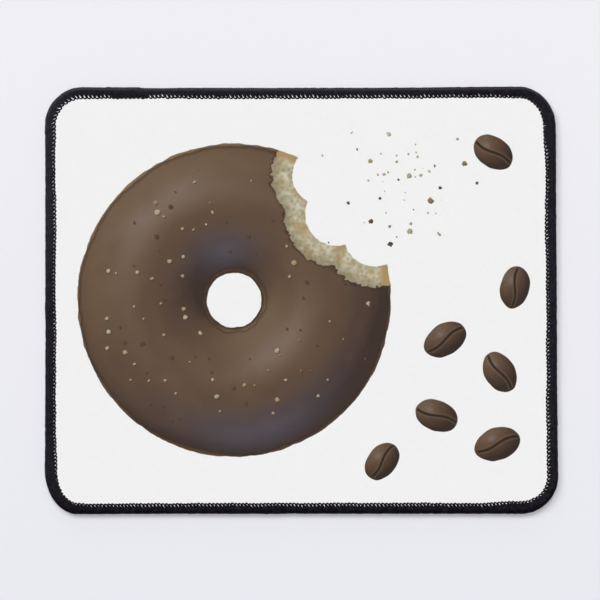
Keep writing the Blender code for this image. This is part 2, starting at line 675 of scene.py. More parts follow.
class IcedRing(Effect):
    """A ring of dough under dark icing, seen from straight above, bitten at its rim.

    Each bite has its angle from the bitten side's middle, its distance from the ring's centre and its
    radius.
    """

    NAME = "iced_ring"
    INPUTS = {"Place": ORIGIN}
    OUTPUTS = {"Colour": "Color", "Mask": "Float"}

    OUTER = 72.0
    INNER = 12.5
    ICING_OUTER = 71.2
    ICING_INNER = 14.2
    HOLE_SHADE = 2.0
    SPARE_DOME = 0.8

    LOBE_SCALE = 2.1
    OUTER_LOBES = 5.0
    INNER_LOBES = -4.0
    RIPPLE_SCALE = 0.16
    ICING_RIPPLE = 2.4
    RIM_RIPPLE = 1.6
    SWELL_SCALE = 0.045
    SWELL = 0.22
    GLINT_SWELL = 0.03
    FOLD_SWING = 26.0
    FOLD_RATE = 0.42
    FOLDS = 0.035

    GLINT_POWER, GLINT_SHARE = 34.0, 0.30
    SHEEN_POWER, SHEEN_SHARE = 16.0, 0.45
    LIP_WIDTH, LIP_SHARE = 1.8, 0.6
    SHADE_WIDTH, SHADE_SHARE = 2.2, 0.55
    ICING_SOFT = 0.25
    RIM_SOFT = 0.15

    BITE_ANGLE = math.radians(40)
    BITES = ((-0.27, 71.0, 14.0), (0.0, 61.5, 14.5), (0.26, 70.0, 13.5))
    CRUMB_WIDTH = 9.5
    TORN_SCALE = 0.35
    TORN_CRUMB = 5.0
    TORN_RIM = 1.2
    UNDERCUT_WIDTH, UNDERCUT_SHARE = 1.6, 0.75

    PORE_SCALE = 0.42
    PORE_SMOOTHNESS = 0.6
    PORE_BOUNDS, PORE_SHARE = (0.08, 0.5), 0.40
    FLUFF_SCALE, FLUFF_BOUNDS = 0.22, (-0.12, 0.18)
    BAKED_SCALE, BAKED_BOUNDS, BAKED_SHARE = 0.13, (0.02, 0.16), 0.7
    BAKED_SHIFT = (40.0, 9.0, 0.0)
    DEEP_BOUNDS, DEEP_SHARE = (0.45, 1.0), 0.6
    OUTER_SKIN = (5.0, 1.5)
    INNER_SKIN = (1.0, 5.0)

    FLAKE_SPACING = 7.0
    FLAKE_SHARE = 0.42
    FLAKE_SHADOW = (0.35, -0.4, 0.0)
    FLAKE_SHADOW_SHARE = 0.6
    BARE_OUTER = (12.0, 4.0)
    BARE_INNER = (4.0, 14.0)

    ICING = (
        (0.00, srgb(50, 39, 34)),
        (0.30, srgb(71, 56, 47)),
        (0.62, srgb(89, 70, 55)),
        (0.85, srgb(101, 81, 63)),
        (1.00, srgb(108, 89, 71)),
    )
    DOUGH = ((0.0, srgb(84, 63, 46)), (0.55, srgb(126, 100, 72)), (1.0, srgb(160, 134, 99)))
    DEEP_DOUGH = srgb(52, 40, 33)
    GLINT = srgb(146, 134, 126)
    SHEEN = srgb(92, 89, 101)
    ICING_EDGE = srgb(47, 36, 31)
    CRUMB = srgb(172, 164, 134)
    CRUMB_PORE = srgb(118, 104, 76)
    CRUMB_BRIGHT = srgb(203, 198, 176)
    CRUST = srgb(169, 141, 96)

    @classmethod
    def fill(cls, wiring: Wiring, taken: dict[str, Value]) -> dict[str, Value]:
        """Paints the whole ring, and the open crumb round the bite over it.

        Args:
            wiring: The group's wiring.
            taken: The group's inputs by name.

        Returns:
            The group's outputs by name.
        """
        place = taken["Place"]
        radius = place.math("LENGTH")
        ripple = wiring.noise(place, cls.RIPPLE_SCALE)
        torn = wiring.noise(place, cls.TORN_SCALE, 3.0)
        bitten = cls._bite_distance(place)
        depth = torn * cls.TORN_CRUMB + cls.CRUMB_WIDTH
        colour = cls._whole(wiring, place, radius, ripple)
        undercut = bitten.fade(depth, depth + cls.UNDERCUT_WIDTH)
        colour = wiring.blend(undercut * cls.UNDERCUT_SHARE, colour, cls.ICING_EDGE)
        crumb = cls._crumb(wiring, place, radius, bitten / depth)
        colour = wiring.blend(bitten.before(depth, cls.ICING_SOFT), colour, crumb)
        rim = ripple * cls.RIM_RIPPLE + radius
        mask = rim.before(cls.OUTER, cls.RIM_SOFT) * rim.past(cls.INNER, cls.RIM_SOFT)
        mask = mask * (torn * cls.TORN_RIM + bitten).past(0.0, cls.RIM_SOFT)
        return {"Colour": colour, "Mask": mask}

    @classmethod
    def _bite_distance(cls, place: Value) -> Value:
        """Distance outside the three round bites, below 0 in them.

        Args:
            place: Place from the ring's centre.

        Returns:
            The distance.
        """
        gaps = []
        for offset, distance, size in cls.BITES:
            angle = cls.BITE_ANGLE + offset
            centre = (distance * math.cos(angle), distance * math.sin(angle), 0.0)
            gaps.append(place.math("DISTANCE", centre) - size)
        return gaps[0].math("MINIMUM", gaps[1]).math("MINIMUM", gaps[2])

    @classmethod
    def _whole(cls, wiring: Wiring, place: Value, radius: Value, ripple: Value) -> Value:
        """Colour of the ring without its bite: dough that shows past the icing's lobed edges.

        Args:
            wiring: The tree's wiring.
            place: Place from the ring's centre.
            radius: Its distance from there.
            ripple: Small waves in the edges.

        Returns:
            The colour.
        """
        heading = place.math("NORMALIZE")
        lobes = wiring.noise(heading, cls.LOBE_SCALE, 1.5)
        outer = lobes * cls.OUTER_LOBES + ripple * cls.ICING_RIPPLE + cls.ICING_OUTER
        inner = lobes * cls.INNER_LOBES + cls.ICING_INNER
        middle = (cls.OUTER + cls.INNER) / 2
        tilt = heading * ((radius - middle) / (cls.OUTER - middle + cls.SPARE_DOME))
        swell = wiring.noise(place, cls.SWELL_SCALE)
        folds = ((swell * cls.FOLD_SWING + radius) * cls.FOLD_RATE).math("SINE")
        facing = painted_slope(tilt, wiring.vector(*PAINTED_LIGHT)) + swell * cls.SWELL + folds * cls.FOLDS

        icing = cls._gloss(wiring, wiring.ramp(facing, cls.ICING), tilt, swell)
        icing = cls._flakes(wiring, place, radius, icing)
        lip = radius.step(outer - cls.LIP_WIDTH, outer)
        lip = lip.math("MAXIMUM", radius.fade(inner, inner + cls.LIP_WIDTH))
        icing = wiring.blend(lip * cls.LIP_SHARE, icing, cls.ICING_EDGE)

        shade = radius.fade(outer, outer + cls.SHADE_WIDTH) * cls.SHADE_SHARE
        shade = shade.math("MAXIMUM", radius.fade(cls.INNER, cls.ICING_INNER + cls.HOLE_SHADE))
        dough = wiring.blend(shade, wiring.ramp(facing, cls.DOUGH), cls.DEEP_DOUGH)
        covered = radius.before(outer, cls.ICING_SOFT) * radius.past(inner, cls.ICING_SOFT)
        return wiring.blend(covered, dough, icing)

    @classmethod
    def _gloss(cls, wiring: Wiring, icing: Value, tilt: Value, swell: Value) -> Value:
        """Adds a bright glint and a broad cool sheen to the icing's colour.

        Args:
            wiring: The tree's wiring.
            icing: The icing's colour.
            tilt: How the ring's surface tilts, as in painted_slope.
            swell: Its slow unevenness.

        Returns:
            The colour.
        """
        glint = painted_slope(tilt, wiring.vector(*PAINTED_GLINT)) + swell * cls.GLINT_SWELL
        icing = wiring.blend(glint.gloss(cls.GLINT_POWER) * cls.GLINT_SHARE, icing, cls.GLINT)
        sheen = painted_slope(tilt, wiring.vector(*PAINTED_SHEEN))
        return wiring.blend(sheen.gloss(cls.SHEEN_POWER) * cls.SHEEN_SHARE, icing, cls.SHEEN)

    @classmethod
    def _flakes(cls, wiring: Wiring, place: Value, radius: Value, icing: Value) -> Value:
        """Strews chopped nuts and chocolate flakes over the icing, each with its own small shadow.

        Args:
            wiring: The tree's wiring.
            place: Place from the ring's centre.
            radius: Its distance from there.
            icing: The icing's colour.

        Returns:
            The colour.
        """
        inside = radius.fade(*(cls.ICING_OUTER - inset for inset in cls.BARE_OUTER))
        inside = inside * radius.step(*(cls.ICING_INNER + outset for outset in cls.BARE_INNER))
        feeds = {"Spacing": cls.FLAKE_SPACING, "Fill": inside * cls.FLAKE_SHARE}
        shadow = wiring.effect(Crumbs, Place=place - cls.FLAKE_SHADOW, **feeds)
        icing = wiring.blend(shadow["Mask"] * cls.FLAKE_SHADOW_SHARE, icing, cls.ICING_EDGE)
        return wiring.paint(icing, Crumbs, Place=place, **feeds)

    @classmethod
    def _crumb(cls, wiring: Wiring, place: Value, radius: Value, depth: Value) -> Value:
        """Colour of the open crumb in the bite, with pores and a baked outer skin.

        Args:
            wiring: The tree's wiring.
            place: Place from the ring's centre.
            radius: Its distance from there.
            depth: Its distance from the bite's edge, as a share of the crumb's width.

        Returns:
            The colour.
        """
        feeds = {"Vector": place, "Scale": cls.PORE_SCALE, "Smoothness": cls.PORE_SMOOTHNESS}
        cell = wiring.node("ShaderNodeTexVoronoi", feeds, voronoi_dimensions="2D", feature="SMOOTH_F1")
        pores = cell["Distance"].fade(*cls.PORE_BOUNDS)
        fluff = wiring.noise(place, cls.FLUFF_SCALE, 4.0).step(*cls.FLUFF_BOUNDS)
        baked = wiring.noise(place + cls.BAKED_SHIFT, cls.BAKED_SCALE).step(*cls.BAKED_BOUNDS)
        skin = radius.step(*(cls.OUTER - inset for inset in cls.OUTER_SKIN))
        skin = skin.math("MAXIMUM", radius.fade(*(cls.INNER + outset for outset in cls.INNER_SKIN)))
        colour = wiring.blend(fluff, cls.CRUMB, cls.CRUMB_BRIGHT)
        colour = wiring.blend(pores * cls.PORE_SHARE, colour, cls.CRUMB_PORE)
        colour = wiring.blend(baked * cls.BAKED_SHARE, colour, cls.CRUST)
        colour = wiring.blend(depth.step(*cls.DEEP_BOUNDS) * cls.DEEP_SHARE, colour, cls.CRUMB_PORE)
        return wiring.blend(skin, colour, cls.CRUST)


class CoffeeBean(Effect):
    """One roasted coffee bean, seen from its grooved side. Across it, 1 is its rim."""

    NAME = "coffee_bean"
    INPUTS = {"Place": ORIGIN, "Centre": ORIGIN, "Turn": 0.0, "Length": 20.0, "Width": 14.0}
    OUTPUTS = {"Colour": "Color", "Mask": "Float"}

    WOBBLE_SCALE, WOBBLE = 0.12, 0.16
    STREAK_SCALE, STREAKS = 0.5, 0.22
    DOME = 0.94
    RIM_SOFT = 0.015
    GLINT_POWER, GLINT_SHARE = 60.0, 0.35
    CURVE_RATE, CURVE = 2.9, -0.15
    GROOVE_BOUNDS = (0.05, 0.12)
    LIP_BOUNDS, LIP_SHARE = (0.10, 0.26), 0.30
    END_BOUNDS = (0.86, 0.98)
    ROAST = (
        (0.05, srgb(42, 32, 27)),
        (0.50, srgb(70, 53, 42)),
        (0.85, srgb(92, 72, 57)),
        (1.00, srgb(104, 86, 70)),
    )
    GLINT = srgb(146, 134, 126)
    GROOVE = srgb(34, 26, 22)
    LIP = srgb(118, 98, 78)

    @classmethod
    def fill(cls, wiring: Wiring, taken: dict[str, Value]) -> dict[str, Value]:
        """Shades an oval dome and cuts a curved groove along it.

        Args:
            wiring: The group's wiring.
            taken: The group's inputs by name.

        Returns:
            The group's outputs by name.
        """
        offset = taken["Place"] - taken["Centre"]
        back = taken["Turn"] * -1.0
        half_sizes = wiring.vector(taken["Length"] * 0.5, taken["Width"] * 0.5, 1.0)
        share = offset.turned(back) / half_sizes
        rim = wiring.noise(offset, cls.WOBBLE_SCALE, 1.0) * cls.WOBBLE + share.math("LENGTH")
        tilt = share * cls.DOME
        facing = painted_slope(tilt, wiring.vector(*PAINTED_LIGHT).turned(back))
        facing = wiring.noise(offset, cls.STREAK_SCALE, 3.0) * cls.STREAKS + facing
        glint = painted_slope(tilt, wiring.vector(*PAINTED_GLINT).turned(back)).gloss(cls.GLINT_POWER)
        x, y, _ = share.parts()
        groove = ((x * cls.CURVE_RATE).math("SINE") * cls.CURVE + y).math("ABSOLUTE")
        ends = x.math("ABSOLUTE").fade(*cls.END_BOUNDS)
        colour = wiring.blend(glint * cls.GLINT_SHARE, wiring.ramp(facing, cls.ROAST), cls.GLINT)
        colour = wiring.blend(groove.fade(*cls.LIP_BOUNDS) * ends * cls.LIP_SHARE, colour, cls.LIP)
        colour = wiring.blend(groove.fade(*cls.GROOVE_BOUNDS) * ends, colour, cls.GROOVE)
        return {"Colour": colour, "Mask": rim.before(1.0, cls.RIM_SOFT)}


# ------------------------------------------------------------
# Finishes
# ------------------------------------------------------------


class Finish:
    """A material: its own plain settings, and the nodes that vary it over the surface."""

    NAME = "finish"
    SETTINGS: dict[str, float] = {}

    def material(self) -> bpy.types.Material:
        """Builds the material.

        Returns:
            The material.
        """
        material = bpy.data.materials.new(self.NAME)
        material.use_nodes = True
        shader = material.node_tree.nodes["Principled BSDF"]
        for name, value in self.SETTINGS.items():
            shader.inputs[name].default_value = value
        wiring = Wiring(material.node_tree)
        place = wiring.node("ShaderNodeTexCoord")["Object"] * (1 / MM)
        for name, value in self.dress(wiring, place).items():
            wiring.feed(shader.inputs[name], value)
        return material

    @staticmethod
    def mottle(wiring: Wiring, place: Value, size_and_amount: tuple[float, float]) -> Value:
        """An uneven tone of about 1."""
        size, amount = size_and_amount
        return wiring.effect(Mottle, Place=place, Size=size, Amount=amount)["Tone"]

    def dress(self, wiring: Wiring, place: Value) -> dict[str, Value]:
        """Works out the shader's colour, roughness and normal from the place in millimetres.

        Args:
            wiring: The material's wiring.
            place: Place on the mat, in millimetres.

        Returns:
            What the shader's inputs get, by name.
        """
        raise NotImplementedError


@dataclass(frozen=True)
class Bean:
    """Where a printed coffee bean lies.

    Attributes:
        x: Its middle.
        y: Its middle.
        turn: Its direction, in degrees from +X towards +Y.
        length: Its length.
        width: Its width.
    """

    x: float
    y: float
    turn: float
    length: float
    width: float


@dataclass(frozen=True)
class PrintedCloth(Finish):
    """White polyester knit with the print taken up into it as dye.

    Attributes:
        white: The bare cloth's colour.
        ring_centre: Middle of the iced ring.
        beans: The coffee beans.
        crumb_centre: Middle of the loose crumbs.
        crumbs: Spacing, share and reach of the large crumbs and of the small ones.
        knit_across: Width of a stitch.
        knit_down: Height of a stitch.
        knit_wander: How far a row of stitches bends.
        knit_depth: Depth of the knit.
        knit_shade: How much lighter it is on top than in its furrows.
        yarn: Size and amount of the yarn's uneven tone.
        slub: Width and amount of the streaks where it is thicker.
        slub_stretch: Width of a streak as a share of its height.
        roughness: How matt the yarn is.
    """

    NAME = "printed_cloth"
    SETTINGS = {"Specular IOR Level": 0.09, "Sheen Weight": 0.0}

    white: tuple = srgb(244, 244, 244)
    ring_centre: tuple[float, float, float] = (-31.0, 0.0, 0.0)
    beans: tuple[Bean, ...] = (
        Bean(66.0, -18.0, 32.0, 21.0, 14.5),
        Bean(91.0, -33.0, -58.0, 20.0, 14.0),
        Bean(62.0, -53.0, -22.0, 20.5, 14.0),
        Bean(90.0, -66.0, 18.0, 21.5, 15.0),
        Bean(98.0, 6.0, 78.0, 19.5, 13.5),
        Bean(37.0, -74.0, 52.0, 19.0, 13.5),
        Bean(88.0, 68.0, -35.0, 20.0, 14.0),
    )
    crumb_centre: tuple[float, float, float] = (47.0, 52.0, 0.0)
    crumbs: tuple[tuple[float, float, float], ...] = ((8.5, 0.55, 46.0), (4.6, 0.42, 34.0))
    knit_across: float = 0.62
    knit_down: float = 0.46
    knit_wander: float = 0.12
    knit_depth: float = 0.04
    knit_shade: float = 0.03
    yarn: tuple[float, float] = (0.5, 0.10)
    slub: tuple[float, float] = (0.9, 0.06)
    slub_stretch: float = 0.35
    roughness: float = 0.82

    def dress(self, wiring: Wiring, place: Value) -> dict[str, Value]:
        """Lays the print over the white cloth, then the knit over both.

        Args:
            wiring: The material's wiring.
            place: Place on the mat, in millimetres.

        Returns:
            What the shader's inputs get, by name.
        """
        flat = place * (1.0, 1.0, 0.0)
        pitch = {"Across": self.knit_across, "Down": self.knit_down}
        knit = wiring.effect(Knit, Place=flat, Wander=self.knit_wander, **pitch)["Height"]
        yarn = self.mottle(wiring, flat, self.yarn)
        slub = self.mottle(wiring, flat * (1.0, self.slub_stretch, 0.0), self.slub)
        tone = (yarn * slub).math("MINIMUM", 1.0) * ((knit - 0.5) * self.knit_shade + 1.0)
        return {
            "Base Color": self._print(wiring, flat) * tone,
            "Roughness": yarn * self.roughness,
            "Normal": wiring.bump(knit, self.knit_depth),
        }

    def _print(self, wiring: Wiring, place: Value) -> Value:
        """Colour of the print on its white ground.

        Args:
            wiring: The material's wiring.
            place: Place on the mat, in millimetres.

        Returns:
            The colour.
        """
        colour: Feed = self.white
        away = place.math("DISTANCE", self.crumb_centre)
        for spacing, share, reach in self.crumbs:
            fill = away.fade(reach / 4, reach) * share
            colour = wiring.paint(colour, Crumbs, Place=place, Spacing=spacing, Fill=fill)
        colour = wiring.paint(colour, IcedRing, Place=place - self.ring_centre)
        for bean in self.beans:
            colour = wiring.paint(
                colour,
                CoffeeBean,
                Place=place,
                Centre=(bean.x, bean.y, 0.0),
                Turn=math.radians(bean.turn),
                Length=bean.length,
                Width=bean.width,
            )
        return colour


@dataclass(frozen=True)
class FoamRubber(Finish):
    """Black foam rubber with a moulded grip pattern on its underside.

    Attributes:
        black: Clean rubber.
        worn: Dusty rubber.
        grip_pitch: Distance between the grip pattern's ribs.
        grip_wander: How far its ribs bend.
        grip_depth: Depth of the grip pattern.
        dust: Size and amount of the dusty patches' tone.
        dust_bounds: Tones at which a patch begins and is full.
        dust_share: How much of the dusty colour a full patch has.
        grain: Size and amount of the foam's grain.
        grain_depth: Its depth, as a share of the grip pattern's.
        roughness: How matt clean rubber is.
        dust_roughness: How much more matt dusty rubber is.
    """

    NAME = "foam_rubber"
    SETTINGS = {"Specular IOR Level": 0.12}

    black: tuple = srgb(27, 27, 28)
    worn: tuple = srgb(42, 41, 40)
    grip_pitch: float = 2.4
    grip_wander: float = 0.5
    grip_depth: float = 0.22
    dust: tuple[float, float] = (22.0, 0.9)
    dust_bounds: tuple[float, float] = (0.9, 1.35)
    dust_share: float = 0.6
    grain: tuple[float, float] = (0.35, 1.0)
    grain_depth: float = 0.25
    roughness: float = 0.74
    dust_roughness: float = 0.15

    def dress(self, wiring: Wiring, place: Value) -> dict[str, Value]:
        """Mixes dark and dusty rubber, and raises the grip pattern and the foam's pores.

        Args:
            wiring: The material's wiring.
            place: Place on the mat, in millimetres.

        Returns:
            What the shader's inputs get, by name.
        """
        pitch = {"Across": self.grip_pitch, "Down": self.grip_pitch}
        ribs = wiring.effect(Ribs, Place=place, Wander=self.grip_wander, **pitch)["Height"]
        dusty = self.mottle(wiring, place, self.dust).step(*self.dust_bounds) * self.dust_share
        grain = self.mottle(wiring, place, self.grain)
        return {
            "Base Color": wiring.blend(dusty, self.black, self.worn) * grain,
            "Roughness": dusty * self.dust_roughness + self.roughness,
            "Normal": wiring.bump(grain * self.grain_depth + ribs, self.grip_depth),
        }


@dataclass(frozen=True)
class SeamThread(Finish):
    """Black textured polyester thread: many loose fine filaments with a soft sheen.

    Attributes:
        black: The dye, where no painted light lies on it.
        faded: The dye where painted light lies on it in full, lighter than black.
        dusty: Lint in the thread.
        daylight: Direction, on the level, in which the painted light on the dye grows.
        fading: Where the painted light starts and is full in that direction.
        twist: Turns of the filaments in each millimetre.
        filament_scale: How fine the filaments are.
        filament_stretch: How fast they change along the thread.
        filament_bounds: Where between two filaments the lint begins and is full.
        filament_depth: Depth of the furrows between them.
        patches: Size and amount of the patches that hold more or less lint.
        lint: How much lint a bare and a full patch show.
        roughness: How matt a bare and a full patch are.
    """

    NAME = "seam_thread"
    SETTINGS = {"Specular IOR Level": 0.028, "Sheen Weight": 0.036, "Sheen Roughness": 0.35}

    black: tuple = srgb(7, 4, 12)
    faded: tuple = srgb(24, 22, 28)
    dusty: tuple = srgb(52, 48, 57)
    daylight: tuple[float, float, float] = (-0.35, 0.94, 0.0)
    fading: tuple[float, float] = (30.0, 85.0)
    twist: float = 0.35
    filament_scale: float = 4.2
    filament_stretch: float = 0.35
    filament_bounds: tuple[float, float] = (-0.15, 0.25)
    filament_depth: float = 0.07
    patches: tuple[float, float] = (1.4, 20.0)
    lint: tuple[float, float] = (-0.08, 0.12)
    roughness: tuple[float, float] = (0.30, 0.45)

    def dress(self, wiring: Wiring, place: Value) -> dict[str, Value]:
        """Streaks the thread along its length with filaments of uneven tone, and paints light on its dye
        towards the back left.

        Args:
            wiring: The material's wiring.
            place: Place on the mat, in millimetres.

        Returns:
            What the shader's inputs get, by name.
        """
        around, length, _ = wiring.node("ShaderNodeUVMap", uv_map=RUN_MAP)["UV"].parts()
        turn = (length * self.twist + around) * (2 * math.pi)
        strand = wiring.vector(turn.math("COSINE"), turn.math("SINE"), length * self.filament_stretch)
        filaments = wiring.noise(strand, self.filament_scale, 3.0)
        linty = filaments.step(*self.filament_bounds) * self.mottle(wiring, place, self.patches)
        # Painted light: the dye grows lighter towards the back left, over the bands on that side.
        daylight = place.math("DOT_PRODUCT", self.daylight).step(*self.fading)
        dye_and_painted_light = wiring.blend(daylight, self.black, self.faded)
        return {
            "Base Color": wiring.blend(between(self.lint, linty), dye_and_painted_light, self.dusty),
            "Roughness": between(self.roughness, linty),
            "Normal": wiring.bump(filaments, self.filament_depth),
        }


@dataclass(frozen=True)
class PlainFloor(Finish):
    """The pale surface under the mat.

    Attributes:
        near: Its colour in front.
        far: Its colour behind.
        reach: How far in front and behind it has these colours.
        clouds: Size and amount of its faint clouds.
    """

    NAME = "pale_floor"
    SETTINGS = {"Specular IOR Level": 0.0, "Roughness": 1.0}

    near: tuple = srgb(235, 235, 242)
    far: tuple = srgb(240, 240, 245)
    reach: float = 150.0
    clouds: tuple[float, float] = (160.0, 0.01)

    def dress(self, wiring: Wiring, place: Value) -> dict[str, Value]:
        """Gives the floor its pale tone, with painted light that makes it a touch lighter towards the back.

        Args:
            wiring: The material's wiring.
            place: Place on the floor, in millimetres.

        Returns:
            What the shader's inputs get, by name.
        """
        _, depth, _ = place.parts()
        # Painted light: the floor turns a touch lighter towards the back.
        colour = wiring.blend(depth.step(-self.reach, self.reach), self.near, self.far)
        return {"Base Color": colour * self.mottle(wiring, place, self.clouds)}


# ------------------------------------------------------------
# Pieces
# ------------------------------------------------------------


def mesh_object(name: str, points: np.ndarray, faces: list, finish: bpy.types.Material) -> bpy.types.Object:
    """Makes a smooth-shaded piece.

    Args:
        name: The piece's name.
        points: Its corners, in millimetres.
        faces: Corner numbers of each face.
        finish: Its material.

    Returns:
        The new object, linked to the scene.
    """
    mesh = bpy.data.meshes.new(name)
    mesh.from_pydata((points * MM).tolist(), [], faces)
    mesh.materials.append(finish)
    mesh.shade_smooth()
    piece = bpy.data.objects.new(name, mesh)
    bpy.context.scene.collection.objects.link(piece)
    return piece


def add_map(piece: bpy.types.Object, name: str, places: np.ndarray) -> None:
    """Gives a piece a UV map, from one place for each corner of each face."""
    layer = piece.data.uv_layers.new(name=name, do_init=False)
    layer.uv.foreach_set("vector", places.astype(np.float32).ravel())


def register(piece: bpy.types.Object, replaced: str) -> bpy.types.Object:
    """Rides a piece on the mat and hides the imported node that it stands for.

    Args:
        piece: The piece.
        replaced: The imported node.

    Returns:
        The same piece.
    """
    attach(piece, BODY)
    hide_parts(replaced)
    LOG.info("%s: %d faces", piece.name, len(piece.data.polygons))
    return piece


def tube_faces(loops: int, steps: int, corners: int) -> list:
    """Faces of closed tubes whose points are numbered ring by ring and loop by loop.

    Args:
        loops: How many tubes there are.
        steps: Rings in each tube.
        corners: Points in each ring.

    Returns:
        The four corner numbers of each face.
    """
    loop, step, corner = np.indices((loops, steps, corners))
    base = loop * steps * corners
    here = base + step * corners
    ahead = base + (step + 1) % steps * corners
    beside = (corner + 1) % corners
    quads = (here + corner, ahead + corner, ahead + beside, here + beside)
    return np.stack([quad.ravel() for quad in quads], axis=1).tolist()


def tube_map(loops: int, steps: int, corners: int) -> tuple[np.ndarray, np.ndarray, np.ndarray]:
    """Where each corner of each face of such tubes lies.

    Args:
        loops: How many tubes there are.
        steps: Rings in each tube.
        corners: Points in each ring.

    Returns:
        Its tube, its ring, which may be one past the last, and its share of the way round the ring.
    """
    loop, step, corner = np.indices((loops, steps, corners))
    around = np.stack([corner, corner, corner + 1, corner + 1], axis=-1) / corners
    ring = np.stack([step, step + 1, step + 1, step], axis=-1)
    return np.broadcast_to(loop[..., None], ring.shape), ring, around


@dataclass(frozen=True)
class Stitches:
    """What differs from stitch to stitch, one number for each.

    Attributes:
        along: Where each stitch is on the seam line.
        pitch: Distance to the next one.
        gap: Length of the opening in its loop.
        reach: How much further in its loop lies than usual.
        knot: Radius of its thread at the loop's very end.
        lift: How far it stands off the band, where the seam's end covers its start.
        lean: How far it slips back for each millimetre outwards.
        fullness: How thick its thread is, about 1.
    """

    along: np.ndarray
    pitch: np.ndarray
    gap: np.ndarray
    reach: np.ndarray
    knot: np.ndarray
    lift: np.ndarray
    lean: np.ndarray
    fullness: np.ndarray

    def columns(self, chosen: np.ndarray) -> "Stitches":
        """Only the chosen stitches, each value as a column."""
        return Stitches(**{name: values[chosen][:, None] for name, values in vars(self).items()})


@dataclass(frozen=True)
class Unevenness:
    """How much the sewing varies.

    Attributes:
        pitch: Least and greatest share of the usual stitch length.
        gap: Least and greatest share of the usual opening.
        fullness: Least and greatest thickness of the thread, about 1.
        reach: Spread of the loops' reach, from stitch to stitch.
        lift: Spread of their height.
        lean: Spread of their lean.
        slow_lift: Spread of their height, over many stitches.
        slow_lean: Spread of their lean, over many stitches.
        reach_stride: Distance in which the reach changes slowly.
        lift_stride: Distance in which the height does.
        lean_stride: Distance in which the lean does.
    """

    pitch: tuple[float, float] = (0.93, 1.07)
    gap: tuple[float, float] = (0.65, 1.35)
    fullness: tuple[float, float] = (0.94, 1.06)
    reach: float = 0.07
    lift: float = 0.05
    lean: float = 0.006
    slow_lift: float = 0.06
    slow_lean: float = 0.05
    reach_stride: float = 9.0
    lift_stride: float = 11.0
    lean_stride: float = 14.0


@dataclass(frozen=True)
class Overlap:
    """Where the seam's end runs on over its start.

    Attributes:
        start_x: Where on the back side the seam starts.
        length: How far its end runs on over its start.
        early: How far before a full round its end begins to lie so.
        reach: How much further in the loops of the end lie.
        lift: How far they stand off the band.
        sag: How far the band sinks past the overlap.
        sag_from: How far past it the sag is deepest.
        sag_length: How far the sag reaches from there.
    """

    start_x: float = -86.0
    length: float = 15.0
    early: float = 1.0
    reach: float = 0.25
    lift: float = 0.16
    sag: float = 0.22
    sag_from: float = 8.0
    sag_length: float = 9.0


@dataclass(frozen=True)
class LoopShape:
    """How the thread runs in one loop.

    Shares are of the stitch length.

    Attributes:
        gaps: Length of the opening at which a loop counts as shut, and as open.
        legs: Radius of the thread in a shut and an open loop's legs, as a share.
        apart: How far a shut and an open loop's legs lie from its middle line, as a share.
        turn: How far its inner end takes to turn round.
        sinking: Shares of the opening between which its legs sink into the band.
        closing: How far from its other end its legs draw together.
        flat: Half the thread's width where it lies in the band, as a share.
        flat_height: Half its height there.
        knot_height: Half the height of the loop's flattened end, at most, and as a share of its radius.
        crowding: Power that draws the samples towards the inner end.
        lift_fade: Distances from the inner end between which a lifted loop rises, and sinks again.
    """

    gaps: tuple[float, float] = (0.05, 0.45)
    legs: tuple[float, float] = (0.28, 0.235)
    apart: tuple[float, float] = (0.295, 0.36)
    turn: float = 0.34
    sinking: tuple[float, float] = (0.25, 1.0)
    closing: float = 0.6
    flat: float = 0.28
    flat_height: float = 0.27
    knot_height: tuple[float, float] = (0.38, 0.80)
    crowding: float = 1.35
    lift_fade: tuple[float, float, float, float] = (0.0, 2.0, 5.0, 8.0)


@dataclass
class Strands:
    """The loops' threads before they're laid on the band: a row for each loop, a column for each sample.

    Attributes:
        run: Distance over the band from the loop's inner end on top.
        aside: How far along the seam from the loop's middle line.
        across: Half the thread's width.
        thick: Half its height.
        leg: 0 in the middle of the loop's two ends, and 1 in its legs.
    """

    run: np.ndarray
    aside: np.ndarray
    across: np.ndarray
    thick: np.ndarray
    leg: np.ndarray

    def closed(self) -> "Strands":
        """Goes on from the far end back along the mirrored leg.

        Returns:
            The closed threads.
        """
        count = self.run.shape[1]
        order = np.concatenate([np.arange(count), np.arange(count - 2, 0, -1)])
        mirrored = np.where(np.arange(len(order)) < count, 1.0, -1.0)
        there_and_back = {name: values[:, order] for name, values in vars(self).items()}
        there_and_back["aside"] = there_and_back["aside"] * mirrored
        return Strands(**there_and_back)


